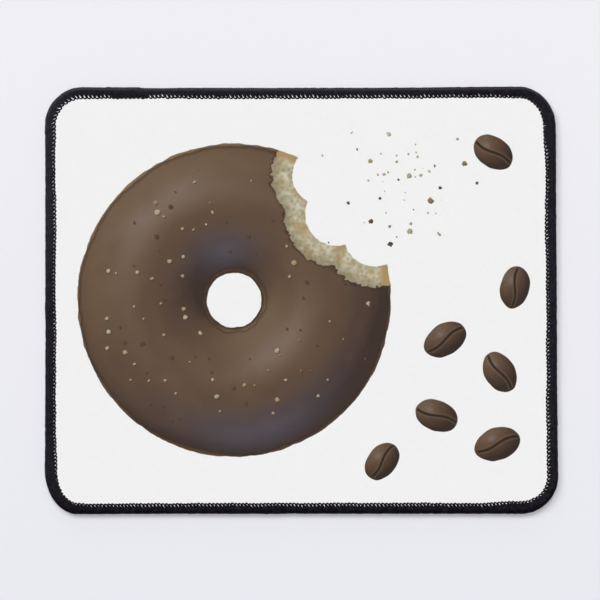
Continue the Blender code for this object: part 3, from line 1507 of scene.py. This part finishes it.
@dataclass
class Section:
    """The band's section from its inner end on the cloth, over the outer side, to that underneath.

    Attributes:
        height: Height of the band's crown.
        width: How far in from the outer edge the band reaches.
        tip_height: Height of its inner end over the table.
        rest_height: Height of its inner end underneath.
        spare: How far beyond its width it goes on, level, for the loops that reach further.
        far: Distances over it from the inner end on top, of each sample.
        points: Each sample's inset and height.
        normals: Directions straight out of it.
    """

    height: float
    width: float
    tip_height: float
    rest_height: float
    spare: float
    far: np.ndarray = field(init=False)
    points: np.ndarray = field(init=False)
    normals: np.ndarray = field(init=False)

    FLAT_SAMPLES = 60
    ROUND_SAMPLES = 80

    def __post_init__(self) -> None:
        """Samples the section."""
        half = self.height / 2
        run = np.linspace(self.width + self.spare, half, self.FLAT_SAMPLES)[:-1]
        share = np.minimum((run - half) / (self.width - half), 1.0)
        top = np.stack([run, self.height - (self.height - self.tip_height) * share**2], axis=1)
        angles = np.linspace(0.0, math.pi, self.ROUND_SAMPLES)
        side = np.stack([half * (1 - np.sin(angles)), half * (1 + np.cos(angles))], axis=1)
        below = np.stack([run[::-1], self.rest_height * share[::-1] ** 2], axis=1)
        self.points = np.concatenate([top, side, below])
        slope = np.gradient(self.points, axis=0)
        normals = np.stack([slope[:, 1], -slope[:, 0]], axis=1)
        self.normals = normals / np.linalg.norm(normals, axis=1, keepdims=True)
        steps = np.linalg.norm(np.diff(self.points, axis=0), axis=1)
        far = np.concatenate([[0.0], np.cumsum(steps)])
        self.far = far - np.interp(-self.width, -top[:, 0], far[: len(top)])

    @property
    def end(self) -> float:
        """Distance over the section to its inner end underneath."""
        return float(self.far[-1] - self.spare)

    def at(self, far: np.ndarray) -> tuple[np.ndarray, np.ndarray, np.ndarray, np.ndarray]:
        """Inset and height of places on the section, and the inset and height of their normals."""
        curves = (*self.points.T, *self.normals.T)
        return tuple(np.interp(far, self.far, curve) for curve in curves)

    def sunk(self, far: np.ndarray, depth: float) -> np.ndarray:
        """Inset and height of places, moved in from the section's surface by depth."""
        inset, height, out, up = self.at(far)
        return np.stack([inset - depth * out, height - depth * up], axis=1)


@dataclass
class Seam:
    """The overlock seam: loops of thread that wrap the mat's rim from face to face.

    Attributes:
        edge: The mat's edge.
        finish: The thread's material.
        height: Height of the band's crown.
        width: How far in from the outer edge the loops reach.
        tip_height: Height of the loops' inner ends over the table.
        rest_height: Height of their ends underneath.
        spare: How far beyond the width the band's section goes on, for the loops that reach further.
        pitches: Stitch length on the back, right, front and left side.
        reaches: How much further in the loops lie on each of them.
        drift: How far the band's inner line wanders on each of them.
        knots: Radius of the thread at a loop's very end, on each of them.
        even_share: How far from a side's middle these values are its own, as a share of its length.
        spreads: How much further still the loops lie at the end of the corner before each side.
        spread_starts: Where before its end the band starts to widen in each of those corners.
        spread_peak: Where past its end the band is widest.
        spread_end: Where it is back to its usual width.
        openings: Where before or past each of those corners' middles its loops' openings are how long.
        lean: How far the stitches slip back for each millimetre outwards.
        overlap: Where the seam's end covers its start.
        uneven: How much the sewing varies.
        shape: How a loop's thread runs.
        path_steps: Samples on each leg, apart from its two ends.
        end_steps: Samples on each half of a loop's end.
        ring_steps: Corners of the thread's section.
        core_depths: How far under the loops the core's outer and inner face lie.
        core_inset: How far short of the loops' inner ends it stops.
        core_steps: Samples over the core's section, and along it.
        seed: Starts the random unevenness.
    """

    edge: Edge
    finish: bpy.types.Material
    height: float
    width: float = 4.9
    tip_height: float = 3.15
    rest_height: float = 0.05
    spare: float = 1.7
    pitches: tuple[float, ...] = (1.93, 1.78, 1.68, 1.75)
    reaches: tuple[float, ...] = (0.56, 0.50, 0.47, 0.44)
    drift: tuple[float, ...] = (0.08, 0.22, 0.07, 0.17)
    knots: tuple[float, ...] = (0.50, 0.55, 0.50, 0.46)
    even_share: float = 0.3
    spreads: tuple[float, ...] = (0.45, 1.10, 1.05, 0.70)
    spread_starts: tuple[float, ...] = (-13.0, -24.0, -13.0, -13.0)
    spread_peak: float = 9.0
    spread_end: float = 32.0
    openings: tuple[tuple[tuple[float, float], ...], ...] = (
        ((-26.0, 1.2), (-16.0, 1.7), (-12.0, 2.4), (8.0, 1.9), (14.0, 1.75), (60.0, 1.75)),
        ((-22.0, 1.6), (-6.0, 0.15), (0.0, 0.0), (14.0, 0.0), (24.0, 1.4)),
        ((-30.0, 1.5), (-8.0, 1.4), (4.0, 0.6), (12.0, 0.4), (24.0, 1.5)),
        ((-30.0, 1.6), (-16.0, 1.5), (-9.0, 0.8), (-2.0, 0.0), (8.0, 0.05), (18.0, 1.1), (34.0, 1.15)),
    )
    lean: float = 0.45
    overlap: Overlap = Overlap()
    uneven: Unevenness = Unevenness()
    shape: LoopShape = LoopShape()
    path_steps: int = 20
    end_steps: int = 6
    ring_steps: int = 8
    core_depths: tuple[float, float] = (0.34, 0.62)
    core_inset: float = 2.7
    core_steps: tuple[int, int] = (22, 360)
    seed: int = 11

    LEAST_STEP = 0.6
    SHUT_GAP = 0.12
    STRETCH_STEP = 0.05
    MAP_ROWS = 3
    MAP_MARGIN = 0.06
    RUN_SHIFT, RUN_SPAN = 7.31, 50.0
    CORE_RUN = (400.0, 3.0)

    def places(self) -> np.ndarray:
        """Where the stitches of the seam's first round are, in rising order.

        Returns:
            Their places on the seam line.
        """
        along = np.sort(self._stitches().along % self.edge.length)
        least = self.LEAST_STEP * min(self.pitches)
        return along[np.concatenate([[True], np.diff(along) > least])]

    def build(self) -> list[bpy.types.Object]:
        """Builds the four sides' loops and the dense core under them.

        Returns:
            The pieces.
        """
        section = Section(self.height, self.width, self.tip_height, self.rest_height, self.spare)
        stitches = self._stitches()
        sides = np.array([self.edge.side_of(along).value for along in stitches.along])
        pieces = [self._core(section)]
        for side in Side:
            name = f"seam_loops_{side.name.lower()}"
            pieces.append(self._loops(name, stitches.columns(sides == side.value), section))
        return pieces

    def _stitches(self) -> Stitches:
        """Spaces the stitches round the mat and gives each its own unevenness.

        Returns:
            The stitches.
        """
        draw = np.random.default_rng(self.seed)
        length = self.edge.length
        uneven = self.uneven
        back = slice(*np.searchsorted(self.edge.along, self.edge.side_starts[:2]))
        start = float(np.interp(self.overlap.start_x, self.edge.places[back, 0], self.edge.along[back]))
        along = [start]
        while along[-1] < start + length + self.overlap.length:
            along.append(along[-1] + self._by_side(self.pitches, along[-1]) * draw.uniform(*uneven.pitch))
        places = np.array(along[:-1])
        count = len(places)
        doubled = (places < start + self.overlap.length) | (places > start + length)
        late = places > start + length - self.overlap.early
        past = (places - start - self.overlap.length - self.overlap.sag_from) / self.overlap.sag_length
        gap = np.where(doubled, 0.0, self._openness(places % length) * draw.uniform(*uneven.gap, count))
        reach = self._by_side(self.reaches, places) + self._spread(places)
        reach += np.where(late, self.overlap.reach, 0.0)
        reach += self._by_side(self.drift, places) * self._wander(draw, places, uneven.reach_stride)
        reach += draw.normal(0.0, uneven.reach, count)
        lift = np.where(late, self.overlap.lift, 0.0) - self.overlap.sag * np.exp(-(past**2))
        lift += uneven.slow_lift * self._wander(draw, places, uneven.lift_stride)
        lift += draw.normal(0.0, uneven.lift, count)
        lean = self.lean + uneven.slow_lean * self._wander(draw, places, uneven.lean_stride)
        lean += draw.normal(0.0, uneven.lean, count)
        fullness = draw.uniform(*uneven.fullness, count)
        knot = self._by_side(self.knots, places)
        return Stitches(places, np.diff(along), gap, reach, knot, lift, lean, fullness)

    def _by_side(self, values: tuple[float, ...], along: np.ndarray | float) -> np.ndarray | float:
        """One value for each side, passing into the next round the corners.

        Args:
            values: The four sides' values.
            along: Places on the seam line.

        Returns:
            The value at each place.
        """
        length = self.edge.length
        starts = np.array(self.edge.side_starts)
        ends = np.append(starts[1:], starts[0] + length)
        middles = (starts + ends) / 2
        even = (ends - starts) * self.even_share
        knots = np.sort(np.concatenate([middles - even, middles + even]))
        return np.interp(along % length, knots, np.repeat(values, 2), period=length)

    @staticmethod
    def _wander(draw: np.random.Generator, along: np.ndarray, stride: float) -> np.ndarray:
        """A random value of about -1 to 1 that changes every stride."""
        knots = np.arange(along[0] - stride, along[-1] + 2 * stride, stride)
        return np.interp(along, knots, draw.normal(0.0, 1.0, len(knots)))

    def _spread(self, along: np.ndarray) -> np.ndarray:
        """How much wider the band gets towards the end of each corner, where the mat was swung round.

        Args:
            along: Places on the seam line.

        Returns:
            How much wider it is at each place.
        """
        length = self.edge.length
        wider = np.zeros(len(along))
        for start, spread, begin in zip(self.edge.side_starts, self.spreads, self.spread_starts):
            past = (along - start + length / 2) % length - length / 2
            falling = 1 - smooth(self.spread_peak, self.spread_end, past)
            wider += spread * smooth(begin, self.spread_peak, past) * falling
        return wider

    def _openness(self, along: np.ndarray) -> np.ndarray:
        """How open the loops are: wide round one corner, pulled shut round two others.

        Args:
            along: Places on the seam line.

        Returns:
            Length of the opening at each place.
        """
        knots = [
            (start + past, opening)
            for start, openings in zip(self.edge.side_starts, self.openings)
            for past, opening in openings
        ]
        return np.interp(along, *zip(*knots), period=self.edge.length)

    def _strands(self, stitches: Stitches, end: float) -> Strands:
        """Shapes each loop's thread: out along one leg, round the far end and back along the other.

        Args:
            stitches: The loops' stitches, as columns.
            end: Distance over the band to its inner end underneath.

        Returns:
            The threads.
        """
        shape = self.shape
        is_open = smooth(*shape.gaps, stitches.gap)
        leg_radius = stitches.pitch * between(shape.legs, is_open) * stitches.fullness
        apart = stitches.pitch * between(shape.apart, is_open)
        knot_radius = stitches.knot * stitches.fullness
        flat = stitches.pitch * shape.flat * stitches.fullness
        last = end - 2 * knot_radius

        angles = np.linspace(0.0, math.pi / 2, self.end_steps + 1)
        begin = np.broadcast_to(shape.turn * (1 - np.cos(angles)), (len(last), len(angles)))
        share = np.linspace(0.0, 1.0, self.path_steps + 2)[1:-1] ** shape.crowding
        middle = shape.turn + share * (last - 2 * shape.turn)
        run = np.concatenate([begin, middle, last - begin[:, ::-1]], axis=1)
        leg = np.concatenate([np.sin(angles), np.ones(self.path_steps), np.sin(angles[::-1])])
        in_band = smooth(*shape.sinking, (run - shape.turn) / np.maximum(stitches.gap, self.SHUT_GAP))
        in_band = in_band * smooth(0.0, 1.0, (last - shape.turn - run) / shape.closing)
        radius = knot_radius + (leg_radius - knot_radius) * leg**2
        most, ratio = shape.knot_height
        return Strands(
            run=run + knot_radius - stitches.reach,
            aside=between((apart, stitches.pitch / 4), in_band) * leg,
            across=between((radius, flat), in_band),
            thick=between((np.minimum(radius * ratio, most), shape.flat_height), in_band),
            leg=np.broadcast_to(leg, run.shape),
        ).closed()

    def _loops(self, name: str, stitches: Stitches, section: Section) -> bpy.types.Object:
        """Builds one side's loops as one mesh of closed tubes.

        Args:
            name: The piece's name.
            stitches: Their stitches, as columns.
            section: The band's section.

        Returns:
            The piece.
        """
        strands = self._strands(stitches, section.end)
        inset, height, out, up = section.at(strands.run)
        rise_from, rise_to, sink_from, sink_to = self.shape.lift_fade
        lifted = smooth(rise_from, rise_to, strands.run) * (1 - smooth(sink_from, sink_to, strands.run))
        raised = stitches.lift * lifted - strands.thick
        inset = inset + out * raised
        height = height + up * raised
        along = stitches.along + strands.aside - stitches.lean * strands.run
        centre = np.concatenate([self.edge.place(along, inset), height[..., None]], axis=2)
        step = self.STRETCH_STEP
        passed = self.edge.place(along + step, inset) - self.edge.place(along - step, inset)
        stretch = np.linalg.norm(passed, axis=2) / (2 * step)
        inward = self.edge.place(along, inset + 1.0) - self.edge.place(along, inset)
        normal = np.concatenate([inward * out[..., None], up[..., None]], axis=2)

        tangent = np.roll(centre, -1, axis=1) - np.roll(centre, 1, axis=1)
        across = unit(np.cross(tangent, normal))
        normal = unit(np.cross(across, tangent))
        turn = np.arange(self.ring_steps) * 2 * math.pi / self.ring_steps
        wide = strands.across * (1 + (stretch - 1) * strands.leg)
        sideways = across[:, :, None, :] * wide[..., None, None] * np.cos(turn)[:, None]
        upwards = normal[:, :, None, :] * strands.thick[..., None, None] * np.sin(turn)[:, None]
        rings = centre[:, :, None, :] + sideways + upwards

        shape = rings.shape[:3]
        piece = mesh_object(name, rings.reshape(-1, 3), tube_faces(*shape), self.finish)
        self._map_loops(piece, centre, shape)
        return register(piece, "edge_stitching")

    def _map_loops(self, piece: bpy.types.Object, centre: np.ndarray, shape: tuple[int, int, int]) -> None:
        """Maps the place along the thread, and gives each loop its own strip of the bake map.

        Args:
            piece: The loops.
            centre: Middle of each ring.
            shape: How many loops there are, rings in each and points in each ring.
        """
        loops, steps, _ = shape
        loop, ring, around = tube_map(*shape)
        lengths = np.linalg.norm(np.roll(centre, -1, axis=1) - centre, axis=2)
        travelled = np.concatenate([np.zeros((loops, 1)), np.cumsum(lengths, axis=1)], axis=1)
        own_start = (loop * self.RUN_SHIFT) % self.RUN_SPAN
        add_map(piece, RUN_MAP, np.stack([around, travelled[loop, ring] + own_start], axis=-1))
        columns = math.ceil(loops / self.MAP_ROWS)
        margin = self.MAP_MARGIN
        cell_x = loop % columns + margin + around * (1 - 2 * margin)
        cell_y = loop // columns + margin / 10 + ring / steps * (1 - margin / 5)
        add_map(piece, BAKE_MAP, np.stack([cell_x / columns, cell_y / self.MAP_ROWS], axis=-1))
        piece.data.uv_layers[BAKE_MAP].active = True

    def _core(self, section: Section) -> bpy.types.Object:
        """The hidden windings under the loops: the same band a little smaller, open towards the mat.

        Args:
            section: The band's section.

        Returns:
            The piece.
        """
        over, round_mat = self.core_steps
        far = np.linspace(self.core_inset, section.end - self.core_inset, over)
        outer, inner = self.core_depths
        ring = np.concatenate([section.sunk(far, outer), section.sunk(far[::-1], inner)])
        along = np.linspace(0.0, self.edge.length, round_mat, endpoint=False)
        flat = self.edge.place(along[:, None], ring[None, :, 0])
        height = np.broadcast_to(ring[:, 1], flat.shape[:2])
        points = np.concatenate([flat, height[..., None]], axis=2).reshape(-1, 3)
        shape = (1, round_mat, len(ring))
        piece = mesh_object("seam_core", points, tube_faces(*shape), self.finish)
        _, step, around = tube_map(*shape)
        length = step / round_mat
        add_map(piece, RUN_MAP, np.stack([length, around], axis=-1) * self.CORE_RUN)
        add_map(piece, BAKE_MAP, np.stack([length, around], axis=-1))
        return register(piece, "edge_stitching")


def inside(points: np.ndarray, polygon: np.ndarray) -> np.ndarray:
    """Tells which points lie inside a polygon, by counting the sides crossed to the right.

    Args:
        points: The points' x and y.
        polygon: Its corners' x and y, in order.

    Returns:
        True for each point inside.
    """
    found = np.zeros(len(points), bool)
    following = np.roll(polygon, -1, axis=0)
    for (x0, y0), (x1, y1) in zip(polygon, following):
        crosses = (y0 > points[:, 1]) != (y1 > points[:, 1])
        rise = y1 - y0 if y1 != y0 else 1.0
        found ^= crosses & (points[:, 0] < (x1 - x0) * (points[:, 1] - y0) / rise + x0)
    return found


@dataclass
class Layer:
    """One sheet of the mat, with a smooth field and a rim shaped by the seam.

    Attributes:
        edge: The mat's edge.
        finish: Its material.
        name: The piece's name.
        rim: Insets of the rim's rings, from the outer one inwards.
        rim_step: Distance between samples along a ring.
        field_step: Distance between samples inside the rim.
        slope: Insets between which it rises from its squeezed rim to its full height.
    """

    edge: Edge
    finish: bpy.types.Material
    name: str
    rim: tuple[float, ...]
    rim_step: float
    field_step: float
    slope: tuple[float, float]

    DEEP_INSIDE = 50.0
    GUARD_SAMPLES = 300
    WALL_STRIP = 0.97
    MAP_GAP = 0.02
    MAP_TOP = 0.95

    def face_points(self) -> tuple[np.ndarray, np.ndarray, list]:
        """Spreads points over the sheet and joins them into triangles.

        Returns:
            The points' x and y, their insets from the outer edge, and the triangles. Points inside the rim
            all get one large inset.
        """
        rings = [self._ring(self.rim_count, inset) for inset in self.rim]
        low = rings[-1].min(axis=0)
        high = rings[-1].max(axis=0)
        half = self.field_step / 2
        axes = [np.arange(low[axis], high[axis], self.field_step) + half for axis in (0, 1)]
        grid = np.stack(np.meshgrid(*axes), axis=-1).reshape(-1, 2)
        grid = grid[inside(grid, self._ring(self.GUARD_SAMPLES, self.rim[-1] + half))]
        points = np.concatenate([*rings, grid])
        insets = np.append(np.repeat(self.rim, self.rim_count), np.full(len(grid), self.DEEP_INSIDE))
        return points, insets, self._triangles(points)

    @property
    def rim_count(self) -> int:
        """Number of samples on each ring."""
        return round(self.edge.length / self.rim_step)

    def _ring(self, count: int, inset: float) -> np.ndarray:
        """Points at one inset, all round."""
        along = np.linspace(0.0, self.edge.length, count, endpoint=False)
        return self.edge.place(along, np.full(count, inset))

    def _triangles(self, points: np.ndarray) -> np.ndarray:
        """Joins points into triangles that face up.

        Args:
            points: Their x and y, from the outer ring inwards.

        Returns:
            The three corner numbers of each triangle.
        """
        count = self.rim_count
        edges = [(start, (start + 1) % count) for start in range(count)]
        kept, _, faces, *_ = delaunay_2d_cdt([Vector(point) for point in points], edges, [], 1, 1e-6)
        if len(kept) != len(points):
            raise ValueError(f"{self.name}: the points don't make a plain sheet")
        triangles = np.array(faces)
        corners = points[triangles]
        first = corners[:, 1] - corners[:, 0]
        second = corners[:, 2] - corners[:, 0]
        down = first[:, 0] * second[:, 1] < first[:, 1] * second[:, 0]
        triangles[down] = triangles[down][:, ::-1]
        return triangles

    def close(
        self, flat: np.ndarray, triangles: np.ndarray, top: np.ndarray, below: np.ndarray, shown_top: bool
    ) -> bpy.types.Object:
        """Makes the sheet's two faces and the wall between them, and maps them.

        Args:
            flat: The points' x and y.
            triangles: How they join.
            top: Height of each point on the upper face.
            below: Height of each point on the lower face.
            shown_top: Whether the upper face is the one in view, and gets most of the bake map.

        Returns:
            The piece.
        """
        count = len(flat)
        ring = np.arange(self.rim_count)
        following = (ring + 1) % self.rim_count
        walls = np.stack([ring, ring + count, following + count, following], axis=1)
        points = np.concatenate([np.column_stack([flat, top]), np.column_stack([flat, below])])
        faces = [*triangles.tolist(), *(triangles[:, ::-1] + count).tolist(), *walls.tolist()]
        piece = mesh_object(self.name, points, faces, self.finish)

        low = flat.min(axis=0)
        size = flat.max(axis=0) - low
        share = (flat - low) / size
        tall = size[1] / size[0]
        shown = share * (1.0, tall)
        hidden = share * (1.0, self.MAP_TOP - self.MAP_GAP - tall) + (0.0, tall + self.MAP_GAP)
        upper, lower = (shown, hidden) if shown_top else (hidden, shown)
        around = np.stack([ring, ring, ring + 1, ring + 1], axis=1) / self.rim_count
        height = np.broadcast_to([self.WALL_STRIP, 1.0, 1.0, self.WALL_STRIP], around.shape)
        places = [
            upper[triangles].reshape(-1, 2),
            lower[triangles[:, ::-1]].reshape(-1, 2),
            np.stack([around, height], axis=-1).reshape(-1, 2),
        ]
        add_map(piece, BAKE_MAP, np.concatenate(places))
        return piece


@dataclass
class ClothFace(Layer):
    """The printed cloth, pulled down and puckered where the seam holds it.

    Attributes:
        stitches: Where the loops are on the seam line.
        top: Height of its face over the table.
        thickness: How thick it is.
        dip: How far the seam pulls its face down.
        pucker: How high it puffs up between two loops.
        pucker_inset: Where it puffs up most.
        pucker_reach: How far from there it puffs up.
        wave: How far its field wanders from flat.
    """

    name: str = "cloth_face"
    rim: tuple[float, ...] = (1.3, 2.6, 3.6, 4.3, 4.8, 5.2, 5.7, 6.3, 7.1, 8.2)
    rim_step: float = 0.58
    field_step: float = 2.6
    stitches: np.ndarray = field(default_factory=lambda: np.zeros(1))
    top: float = 3.0
    thickness: float = 0.42
    dip: float = 0.20
    slope: tuple[float, float] = (3.4, 5.3)
    pucker: float = 0.09
    pucker_inset: float = 4.9
    pucker_reach: float = 0.75
    wave: float = 0.02

    def build(self, rests_on: bpy.types.Object) -> bpy.types.Object:
        """Builds the cloth as a thin closed sheet.

        Args:
            rests_on: The rubber under it. Not used.

        Returns:
            The piece.
        """
        flat, insets, triangles = self.face_points()
        rise = smooth(*self.slope, insets)
        face = self.top - self.dip * (1 - rise)
        back = face - self.thickness
        face = face + self._puckers(insets) + self._waves(flat) * rise
        piece = self.close(flat, triangles, face, back, shown_top=True)
        register(piece, "cloth_top")
        return piece

    def _puckers(self, insets: np.ndarray) -> np.ndarray:
        """Puffs the cloth up between the loops' ends and draws it in at each.

        Args:
            insets: The points' insets, those of the rim's rings first.

        Returns:
            The height added at each point.
        """
        along = np.linspace(0.0, self.edge.length, self.rim_count, endpoint=False)
        turns = np.interp(along, self.stitches, np.arange(len(self.stitches)), period=self.edge.length)
        wave = np.tile(-np.cos(2 * math.pi * turns), len(self.rim))
        nearness = np.exp(-(((insets - self.pucker_inset) / self.pucker_reach) ** 2))
        return np.append(wave, np.zeros(len(insets) - len(wave))) * nearness * self.pucker / 2

    def _waves(self, flat: np.ndarray) -> np.ndarray:
        """Slow unevenness of the field, from a few sine waves.

        Args:
            flat: The points' x and y.

        Returns:
            The height added at each point.
        """
        x, y = flat.T
        swell = np.sin(x / 31 + 0.6) * np.cos(y / 27 - 0.4) + 0.6 * np.sin(x / 17 - y / 23 + 1.9)
        return swell * self.wave / 1.6


@dataclass
class RubberSheet(Layer):
    """The foam rubber under the cloth, squeezed thin where the seam binds it.

    Attributes:
        top: Height of its upper face.
        squeezed_top: Height of that face under the seam.
        squeezed_under: Height of its lower face over the seam.
        grip: How far the moulded grip pattern stands out.
        grip_pitch: Distance between the pattern's ridges.
        grip_bend: How far its ridges bend, in turns of the pattern.
    """

    name: str = "rubber_sheet"
    rim: tuple[float, ...] = (1.3, 3.0, 4.3, 4.9, 5.5, 6.2, 7.0)
    rim_step: float = 1.1
    field_step: float = 1.35
    top: float = 2.46
    squeezed_top: float = 2.12
    squeezed_under: float = 0.5
    slope: tuple[float, float] = (4.8, 6.2)
    grip: float = 0.12
    grip_pitch: float = 5.4
    grip_bend: float = 0.9

    def build(self) -> bpy.types.Object:
        """Builds the rubber as a closed sheet with its grip pattern below.

        Returns:
            The piece.
        """
        flat, insets, triangles = self.face_points()
        rise = smooth(*self.slope, insets)
        top = self.squeezed_top + (self.top - self.squeezed_top) * rise
        x, y = (flat * 2 * math.pi / self.grip_pitch).T
        ridges = 0.5 + 0.5 * np.sin(x + self.grip_bend * np.sin(y))
        within = smooth(self.rim[-1] - 0.5, self.rim[-1] + 0.5, insets)
        under = self.squeezed_under * (1 - rise) + self.grip * (1 - ridges) * within
        piece = self.close(flat, triangles, top, under, shown_top=False)
        return register(piece, "rubber_base")


# ------------------------------------------------------------
# Studio
# ------------------------------------------------------------


@dataclass
class Studio:
    """Pale floor, plain soft light from the back left, and a camera straight above.

    Attributes:
        floor_size: Side of the floor, in metres.
        focus: Point on the mat's face that the camera looks at, in millimetres.
        frame_width: Width of what the camera sees at that height.
        lens: The camera's lens.
        sensor: Its sensor.
        ambient: Light that comes evenly from all sides.
        lamps: Each lamp's name, its share of the light on a flat surface, how far it stands from straight
            above, the direction it stands in from +X towards +Y, and how wide it looks, all in degrees.
        backdrop: Strength of what shows past the floor.
        backdrop_tone: Its colour.
        window: How much brighter the reflected room is on the side where its window is.
        window_side: Direction of the window, on the level.
        window_bounds: Where the window begins and is full, as the cosine from its direction.
        window_top: Where it begins to end and has ended, as the sine of the angle above the level.
        window_sill: How soft its lower end is, round the level.
    """

    floor_size: float = 8.0
    focus: tuple[float, float, float] = (-0.72, 0.11, 3.0)
    frame_width: float = 275.66
    lens: float = 180.0
    sensor: float = 36.0
    ambient: float = 0.20
    lamps: tuple[tuple[str, float, float, float, float], ...] = (
        ("overhead_lamp", 0.36, 4.0, 120.0, 20.0),
        ("back_left_lamp", 0.22, 51.0, 140.0, 26.0),
        ("back_lamp", 0.19, 39.0, 92.0, 26.0),
        ("low_back_lamp", 0.02, 78.0, 100.0, 20.0),
    )
    backdrop: float = 0.86
    backdrop_tone: tuple[float, float, float, float] = (1.0, 1.0, 1.02, 1.0)
    window: float = 20.0
    window_side: tuple[float, float, float] = (-0.20, 0.98, 0.0)
    window_bounds: tuple[float, float] = (0.0, 0.8)
    window_top: tuple[float, float] = (0.60, 0.90)
    window_sill: float = 0.05

    def build(self) -> None:
        """Sets up the floor, the light and the camera."""
        self._floor()
        self._lamps()
        self._surroundings()
        self._camera()
        bpy.context.scene.view_settings.view_transform = "Standard"

    def _floor(self) -> None:
        """Lays the floor under the mat."""
        bpy.ops.mesh.primitive_plane_add(size=self.floor_size)
        floor = bpy.context.object
        floor.name = "floor"
        floor.data.materials.append(PlainFloor().material())

    def _lamps(self) -> None:
        """Adds the lamps. With the even light, they bring a flat white surface up to its own colour."""
        for name, share, tilt, turn, softness in self.lamps:
            tilt = math.radians(tilt)
            turn = math.radians(turn)
            data = bpy.data.lights.new(name, "SUN")
            data.energy = share * math.pi / math.cos(tilt)
            data.angle = math.radians(softness)
            lamp = bpy.data.objects.new(name, data)
            flat = Vector((math.cos(turn), math.sin(turn), 0.0)) * math.sin(tilt)
            towards = flat + Vector((0.0, 0.0, math.cos(tilt)))
            lamp.rotation_euler = towards.to_track_quat("Z", "Y").to_euler()
            bpy.context.scene.collection.objects.link(lamp)

    def _surroundings(self) -> None:
        """Lights the scene evenly, and shows a pale backdrop to the camera and in reflections."""
        world = bpy.data.worlds.new("soft_room")
        world.use_nodes = True
        wiring = Wiring(world.node_tree)
        light = world.node_tree.nodes["Background"]
        light.inputs["Color"].default_value = (1.0, 1.0, 1.0, 1.0)
        light.inputs["Strength"].default_value = self.ambient
        path = wiring.node("ShaderNodeLightPath")
        direction = wiring.node("ShaderNodeTexCoord")["Generated"]
        _, _, rise = direction.parts()
        window = direction.math("DOT_PRODUCT", self.window_side).step(*self.window_bounds)
        window = window * rise.fade(*self.window_top) * rise.past(0.0, self.window_sill)
        strength = window * path["Is Glossy Ray"] * self.window + self.backdrop
        feeds = {"Color": self.backdrop_tone, "Strength": strength}
        shown = wiring.node("ShaderNodeBackground", feeds)["Background"]
        seen = path["Is Camera Ray"].math("MAXIMUM", path["Is Glossy Ray"])
        seen = seen.math("MAXIMUM", path["Is Transmission Ray"])
        room = Value(wiring, light.outputs["Background"])
        mixed = wiring.node("ShaderNodeMixShader", {0: seen, 1: room, 2: shown})["Shader"]
        wiring.feed(world.node_tree.nodes["World Output"].inputs["Surface"], mixed)
        bpy.context.scene.world = world

    def _camera(self) -> None:
        """Places the camera straight above the mat, with its back side up."""
        data = bpy.data.cameras.new("camera")
        data.lens = self.lens
        data.sensor_width = self.sensor
        data.clip_start = 0.01
        camera = bpy.data.objects.new("camera", data)
        distance = self.frame_width * self.lens / self.sensor
        x, y, z = self.focus
        camera.location = Vector((x, y, z + distance)) * MM
        bpy.context.scene.collection.objects.link(camera)
        bpy.context.scene.camera = camera


def main() -> None:
    """Dresses the mat and sets up the studio."""
    logging.basicConfig(level=logging.INFO, format="%(message)s")
    edge = Edge()
    low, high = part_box("edge_stitching")
    seam = Seam(edge, SeamThread().material(), height=(high.z - low.z) / MM)
    seam.build()
    rubber = RubberSheet(edge, FoamRubber().material()).build()
    ClothFace(edge, PrintedCloth().material(), stitches=seam.places()).build(rubber)
    Studio().build()


if __name__ == "__main__":
    main()
